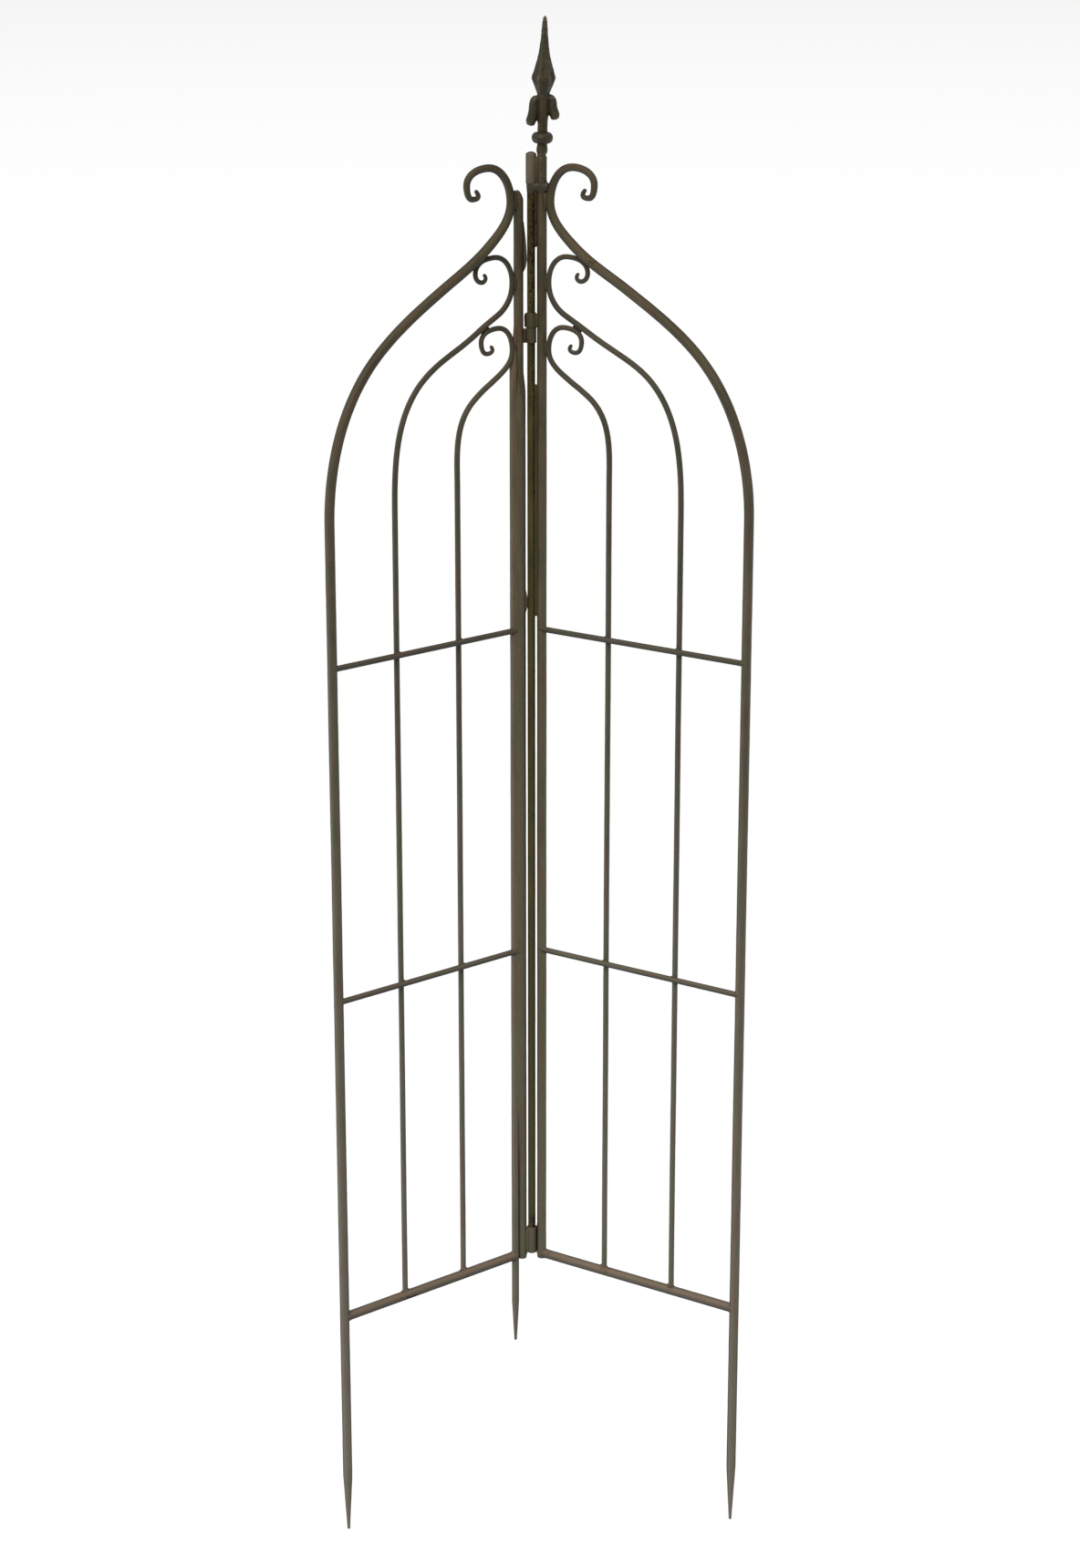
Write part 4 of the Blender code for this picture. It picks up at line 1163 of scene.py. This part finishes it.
def tube(foot, top):
    outer = low_rim(foot) + wall(foot + RIM, top - RIM, 9)[1:-1] + top_rim(top)
    return [(BORE_R, foot), *outer, (BORE_R, top), (BORE_R, foot)]


sleeve_top = SLEEVE_FOOT + SLEEVE_HEIGHT
bore_top = SLEEVE_FOOT + SLEEVE_BORE
dome = [(SLEEVE_R * math.cos(t), sleeve_top - DOME * (1 - math.sin(t))) for t in quarter(9)]
sleeve_profile = [(0.0, bore_top), (BORE_R, bore_top), (BORE_R, SLEEVE_FOOT), *low_rim(SLEEVE_FOOT),
                  *wall(SLEEVE_FOOT + RIM, sleeve_top - DOME, 14)[1:-1], *dome]
barrel_top, barrel_floor = BARREL_FOOT + BARREL_HEIGHT, BARREL_FOOT + CUP_FLOOR
cup = [(SLEEVE_R * math.sin(t), BARREL_FOOT + CUP * (1 - math.cos(t))) for t in quarter(8)]
barrel_profile = [*cup, *wall(BARREL_FOOT + CUP, barrel_top - RIM, 14)[1:], *top_rim(barrel_top)[1:],
                  (BORE_R, barrel_top), (BORE_R, barrel_floor), (0.0, barrel_floor)]
upper_ring = tube(RING_SPLIT + CLEAR / 2, RING_SPLIT + RING_HEIGHT)
lower_ring = tube(RING_SPLIT - RING_HEIGHT, RING_SPLIT - CLEAR / 2)
print("sleeve to", round(sleeve_top, 4), "m, barrel to", round(barrel_top, 4), "m above the spikes")

# %% [markdown]
# ## Turn the tubes
# A lathe is one step in mesh code: the profile is spun round the hinge axis, and points that fall
# together are merged. Each tube takes the place of its solid and moves with its own panel.

# %% Sleeve, rings and barrel
for name, side, profile, look, slot in (
    ("top_sleeve", RIGHT, sleeve_profile, pale_tube, "olive_bar"),
    ("right_ring", RIGHT, upper_ring, ring_paint, "rusted_iron"),
    ("left_ring", LEFT, lower_ring, ring_paint, "rusted_iron"),
    ("hinge_barrel", LEFT, barrel_profile, worn_tube, "worn_bar"),
):
    shape = bmesh.new()
    spin_up(shape, [(radius, height - SOIL_DEPTH) for radius, height in profile], 48)
    bmesh.ops.remove_doubles(shape, verts=shape.verts, dist=MERGE)
    piece = run_tree("turned_" + name, outward_mesh(shape), uneven_skin,
                     {"Lump Scale": 320.0, "Lump Depth": 0.00025, "Seed": float(len(name)), "Finish": look})
    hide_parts(name)
    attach(piece, BODY[side])
print("hinge tubes done")

# %% [markdown]
# ## Hollows and edges of a casting
# The finish paints the edges of the casting pale, as rubbed wear together with a painted highlight,
# and paints shade nearly black into its hollows, which also hold more rust. A copy of the surface
# is smoothed hard. A point that lies outside the copy is on an edge, and one that lies inside is in
# a hollow. The result is kept as an attribute for the finish.

# %% Helper that stores the relief
SMOOTH_PASSES, BLUR_PASSES, HOLLOW_RUST = 40, 4, 0.20


def keep_relief(piece, reach, rust=WELD_RUST):
    """Stores 0 in hollows, 0.5 on flat skin and 1 on edges, and more rust in the hollows."""
    mesh = piece.data
    points, normals = np.empty(len(mesh.vertices) * 3), np.empty(len(mesh.vertices) * 3)
    mesh.vertices.foreach_get("co", points)
    mesh.vertices.foreach_get("normal", normals)
    points, normals = points.reshape(-1, 3), normals.reshape(-1, 3)
    pairs = np.empty(len(mesh.edges) * 2, np.int64)
    mesh.edges.foreach_get("vertices", pairs)
    first, second = pairs.reshape(-1, 2).T

    def around(values):
        total, count = np.zeros_like(values), np.zeros(len(values))
        for a, b in ((first, second), (second, first)):
            np.add.at(total, a, values[b])
            np.add.at(count, a, 1.0)
        return total / np.maximum(count, 1.0).reshape((-1,) + (1,) * (values.ndim - 1))

    smooth = points
    for _ in range(SMOOTH_PASSES):
        smooth = around(smooth)
    bulge = ((points - smooth) * normals).sum(axis=1) / reach
    for _ in range(BLUR_PASSES):
        bulge = around(bulge)
    relief = np.clip(0.5 + 0.5 * (bulge - np.median(bulge)), 0.0, 1.0)
    keep_numbers(mesh, "relief", relief)
    keep_numbers(mesh, "rusty", rust + HOLLOW_RUST * np.clip((0.5 - relief) * 2.5, 0.0, 1.0))
    print(piece.name, "relief", np.percentile(relief, (5, 50, 95)).round(2))

# %% [markdown]
# ## Spear finial
# The finial is one rough casting: a six-sided spear head, a round stem with a swelling at its
# foot, and two drooping lobes that are solid with the stem. The head and the stem are turned
# from profiles, and each lobe is a round bar that thickens towards its end.

# %% Profiles of the finial
STEM_R, BULGE_R, NECK_R, SHOULDER_R = 0.0050, 0.0056, 0.0062, 0.0118
COLLAR_Z, COLLAR_HEIGHT, COLLAR_R = 0.0110, 0.0106, 0.0104
NECK_Z, SHOULDER_Z, TIP_Z = 0.0579, 0.0738, 0.1313
HEAD_FOOT_Z = between(NECK_Z, COLLAR_Z, 0.213)
HEAD_TAPER = (
    (0.08, 0.87), (0.16, 0.755), (0.275, 0.60), (0.40, 0.46), (0.52, 0.375), (0.66, 0.31),
    (0.80, 0.265), (0.90, 0.215), (0.955, 0.17), (0.985, 0.10))

spear_marks = [
    (0.0, HEAD_FOOT_Z), (NECK_R * 0.8, HEAD_FOOT_Z), (NECK_R, NECK_Z),
    (SHOULDER_R * 0.985, between(SHOULDER_Z, NECK_Z, 0.14)), (SHOULDER_R, SHOULDER_Z - 0.0010),
    (SHOULDER_R * 0.985, SHOULDER_Z + 0.0006),
    *((SHOULDER_R * width, between(SHOULDER_Z, TIP_Z, share)) for share, width in HEAD_TAPER), (0.0, TIP_Z)]
stem_marks = [
    (0.0, 0.0), (0.0040, 0.0), (BULGE_R * 0.90, 0.0018), (BULGE_R, 0.0045), (BULGE_R * 0.98, 0.0066),
    (STEM_R, COLLAR_Z - 0.0012), (STEM_R, between(COLLAR_Z, NECK_Z, 0.405)),
    (STEM_R * 1.15, between(COLLAR_Z, NECK_Z, 0.618)), (NECK_R * 0.96, between(COLLAR_Z, NECK_Z, 0.957)),
    (0.0, between(NECK_Z, SHOULDER_Z, 0.377))]
print("spear head of", len(spear_marks), "marks, stem of", len(stem_marks))

# %% [markdown]
# ## Drooping lobes
# A lobe leaves the stem, turns down and ends in a club. Its line comes from marks, as a bar's
# does, and rings of points round that line are joined into a closed skin. The left lobe hangs
# lower than the right one.

# %% Helper that adds a lobe
LOBE_R, LOBE_TOP, LOBE_END, LOBE_OUT = 0.0050, 0.0545, 0.0432, 0.0119
LOBE_SIDES = 20


def add_lobe(shape, side, drop):
    """Adds one lobe: a round bar that leaves the stem, turns down and ends in a club."""
    end = LOBE_END - drop - LOBE_R
    marks = [
        (0.08, LOBE_TOP, 50.0 if side > 0 else 130.0, 0.55),
        (0.52, LOBE_TOP - drop / 6 - 0.0010, OUTWARD if side > 0 else INWARD, 0.80),
        (0.76, LOBE_TOP - drop / 3 - 0.0075, DOWN, 0.94), (0.94, end, DOWN + side * 15.0, 1.02),
        (0.98, end - 0.0030, DOWN + side * 10.0, 0.84)]
    marks = [(side * LOBE_OUT * out, height, turn, share) for out, height, turn, share in marks]
    flat, shares = round_end(*bend_line(marks), LOBE_R, 0.45)
    rings = []
    for i, ((x, z), share) in enumerate(zip(flat, shares)):
        aim = flat[min(i + 1, len(flat) - 1)] - flat[max(i - 1, 0)]
        aim = aim / np.linalg.norm(aim)
        ring = []
        for turn in round_turns(LOBE_SIDES):
            across, deep = LOBE_R * share * math.cos(turn), LOBE_R * share * math.sin(turn)
            ring.append(shape.verts.new((x - aim[1] * across, deep, z + aim[0] * across)))
        rings.append(ring)
    for ring, above in zip(rings, rings[1:]):
        for i in range(LOBE_SIDES):
            j = (i + 1) % LOBE_SIDES
            shape.faces.new((ring[i], ring[j], above[j], above[i]))
    shape.faces.new(rings[0][::-1])
    shape.faces.new(rings[-1])

# %% [markdown]
# ## Fuse the casting
# The closed shapes are laid into each other, a voxel remesh fuses them, and a short smoothing
# rounds the inner corners as a sand casting does. The finial leans a little on its post.

# %% Finial casting
FINIAL_LEAN = math.radians(1.3)
LEAN_LIFT = 0.0040 * math.sin(FINIAL_LEAN)
VOXEL = 0.00045

seat = Vector(panel_place(RIGHT, POST_S, POST_N, RIGHT_POST_TOP + CLEAR + LEAN_LIFT))
finial_seat = Matrix.Translation(seat) @ Matrix.Rotation(FINIAL_LEAN, 4, "Y")
casting = bmesh.new()
spin_up(casting, spear_marks, 6)
spin_up(casting, stem_marks, 32)
add_lobe(casting, -1, 0.0060)
add_lobe(casting, 1, 0.0)
bmesh.ops.remove_doubles(casting, verts=casting.verts, dist=MERGE)
bmesh.ops.transform(casting, matrix=finial_seat, verts=casting.verts)
fused = new_object("finial_fused", outward_mesh(casting))
remesh = fused.modifiers.new("fuse", "REMESH")
remesh.mode = "VOXEL"
remesh.voxel_size = VOXEL
smooth = fused.modifiers.new("soften", "SMOOTH")
smooth.factor = 0.5
smooth.iterations = 5
soft = bmesh.new()
soft.from_mesh(evaluated_mesh(fused))
finial = run_tree("cast_finial", outward_mesh(soft), uneven_skin, {
    "Lump Scale": 280.0, "Lump Depth": 0.0009, "Finish": cast_iron})
keep_relief(finial, 0.0008, rust=0.42)
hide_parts("finial")
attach(finial, BODY[RIGHT])
print("finial faces", len(finial.data.polygons))

# %% [markdown]
# ## Collar
# The collar is a loose ring on the stem, so it stays a piece of its own. It is turned from an
# arc that starts and ends at the stem.

# %% Collar of the finial
COLLAR_FALL = 0.0042
ARC = math.pi * 0.72

inside, ring_mark = STEM_R - 0.0004, COLLAR_Z + COLLAR_HEIGHT / 2
collar_marks = [(inside, ring_mark)]
for turn in np.linspace(-ARC, ARC, 22):
    reach = COLLAR_R - COLLAR_FALL * (1 - math.cos(turn))
    collar_marks.append((max(reach, inside), ring_mark + COLLAR_HEIGHT / 2 * math.sin(turn)))
collar_marks.append(collar_marks[0])
collar = bmesh.new()
spin_up(collar, collar_marks, 48)
bmesh.ops.remove_doubles(collar, verts=collar.verts, dist=MERGE)
bmesh.ops.transform(collar, matrix=finial_seat, verts=collar.verts)
collar = run_tree("cast_collar", outward_mesh(collar), uneven_skin, {
    "Lump Scale": 300.0, "Lump Depth": 0.0006, "Seed": 4.0, "Finish": cast_iron})
keep_relief(collar, 0.0008)
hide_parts("finial_collar")
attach(collar, BODY[RIGHT])
print("collar faces", len(collar.data.polygons))

# %% [markdown]
# ## Floor and sky
# The floor is plain and pale, and so is the world around it, so the bars stand out as they do
# against white paper. Most of the white is light that only the camera and reflections see, so it
# hardly brightens the bars, and the floor still takes their shadow. The floor's white falls off
# slowly with distance.

# %% Floor and world
FLOOR_Z, FLOOR_REACH, FLOOR_GREY = -SOIL_DEPTH - 0.0004, 60.0, (0.36, 0.36, 0.36, 1.0)
NEAR_WHITE, FAR_WHITE, SKY_LIGHT = 0.705, 0.600, 0.30
NEAR, FAR = 8.0, 25.0


def seen_rays(tree):
    """1 for the rays that show the background: camera, mirror and glass rays."""
    path = wire(tree, "ShaderNodeLightPath", out=None)
    seen = calc(tree, "MAXIMUM", path["Is Glossy Ray"], path["Is Transmission Ray"])
    return calc(tree, "MAXIMUM", path["Is Camera Ray"], seen)


paper = bpy.data.materials.new("pale_floor")
paper.use_nodes = True
tree = paper.node_tree
shader = tree.nodes["Principled BSDF"].inputs
shader["Base Color"].default_value = FLOOR_GREY
shader["Roughness"].default_value = 0.95
shader["Specular IOR Level"].default_value = 0.0
shader["Emission Color"].default_value = (0.985, 1.0, 0.993, 1.0)
spot = wire(tree, "ShaderNodeTexCoord", out="Object")
distance = wire(tree, "ShaderNodeVectorMath", {0: spot}, "Value", operation="LENGTH")
white = remap(tree, distance, NEAR, FAR, NEAR_WHITE, FAR_WHITE)
white = calc(tree, "MULTIPLY", seen_rays(tree), white)
tree.links.new(white, shader["Emission Strength"])
floor_mesh = bpy.data.meshes.new("floor")
corners = [(x * FLOOR_REACH, y * FLOOR_REACH, FLOOR_Z) for x, y in ((-1, -1), (1, -1), (1, 1), (-1, 1))]
floor_mesh.from_pydata(corners, [], [(0, 1, 2, 3)])
floor_mesh.materials.append(paper)
floor = new_object("floor", floor_mesh)
floor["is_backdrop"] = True

world = bpy.data.worlds.new("studio")
world.use_nodes = True
bpy.context.scene.world = world
tree = world.node_tree
sky = tree.nodes["Background"].inputs
sky["Color"].default_value = (0.97, 0.985, 1.0, 1.0)
strength = calc(tree, "MULTIPLY_ADD", seen_rays(tree), 1.0 - SKY_LIGHT, SKY_LIGHT)
tree.links.new(strength, sky["Strength"])
print("floor at", round(FLOOR_Z, 4))

# %% [markdown]
# ## Lamps
# A broad sun gives the soft modelling on the bars. Two tall panels of light, one at each side,
# give the outer bars the pale strip along their outer edges.

# %% Lamps
def lamp(name, kind, energy, place, aim, **options):
    data = bpy.data.lights.new(name, kind)
    data.energy = energy
    for key, value in options.items():
        setattr(data, key, value)
    made = new_object(name, data)
    made.location = place
    made.rotation_euler = (Vector(aim) - Vector(place)).to_track_quat("-Z", "Y").to_euler()


lamp("broad_sun", "SUN", 2.6, (-0.95, -2.2, 2.6), (0.0, 0.0, 0.5),
     angle=math.radians(40.0), color=(1.0, 0.975, 0.94))
for side, power in ((LEFT, 12.0), (RIGHT, 8.0)):
    lamp(f"{SIDE_NAME[side]}_panel", "AREA", power, (side * 1.3, 0.1, 0.25), (side * 0.1, -0.1, 0.35),
         shape="RECTANGLE", size=0.5, size_y=1.2, color=(0.95, 0.98, 1.0))
print("lamps", [light.name for light in bpy.data.lights])

# %% [markdown]
# ## View transform
# The scene is shown through the Standard view transform.

# %% View transform
bpy.context.scene.view_settings.view_transform = "Standard"
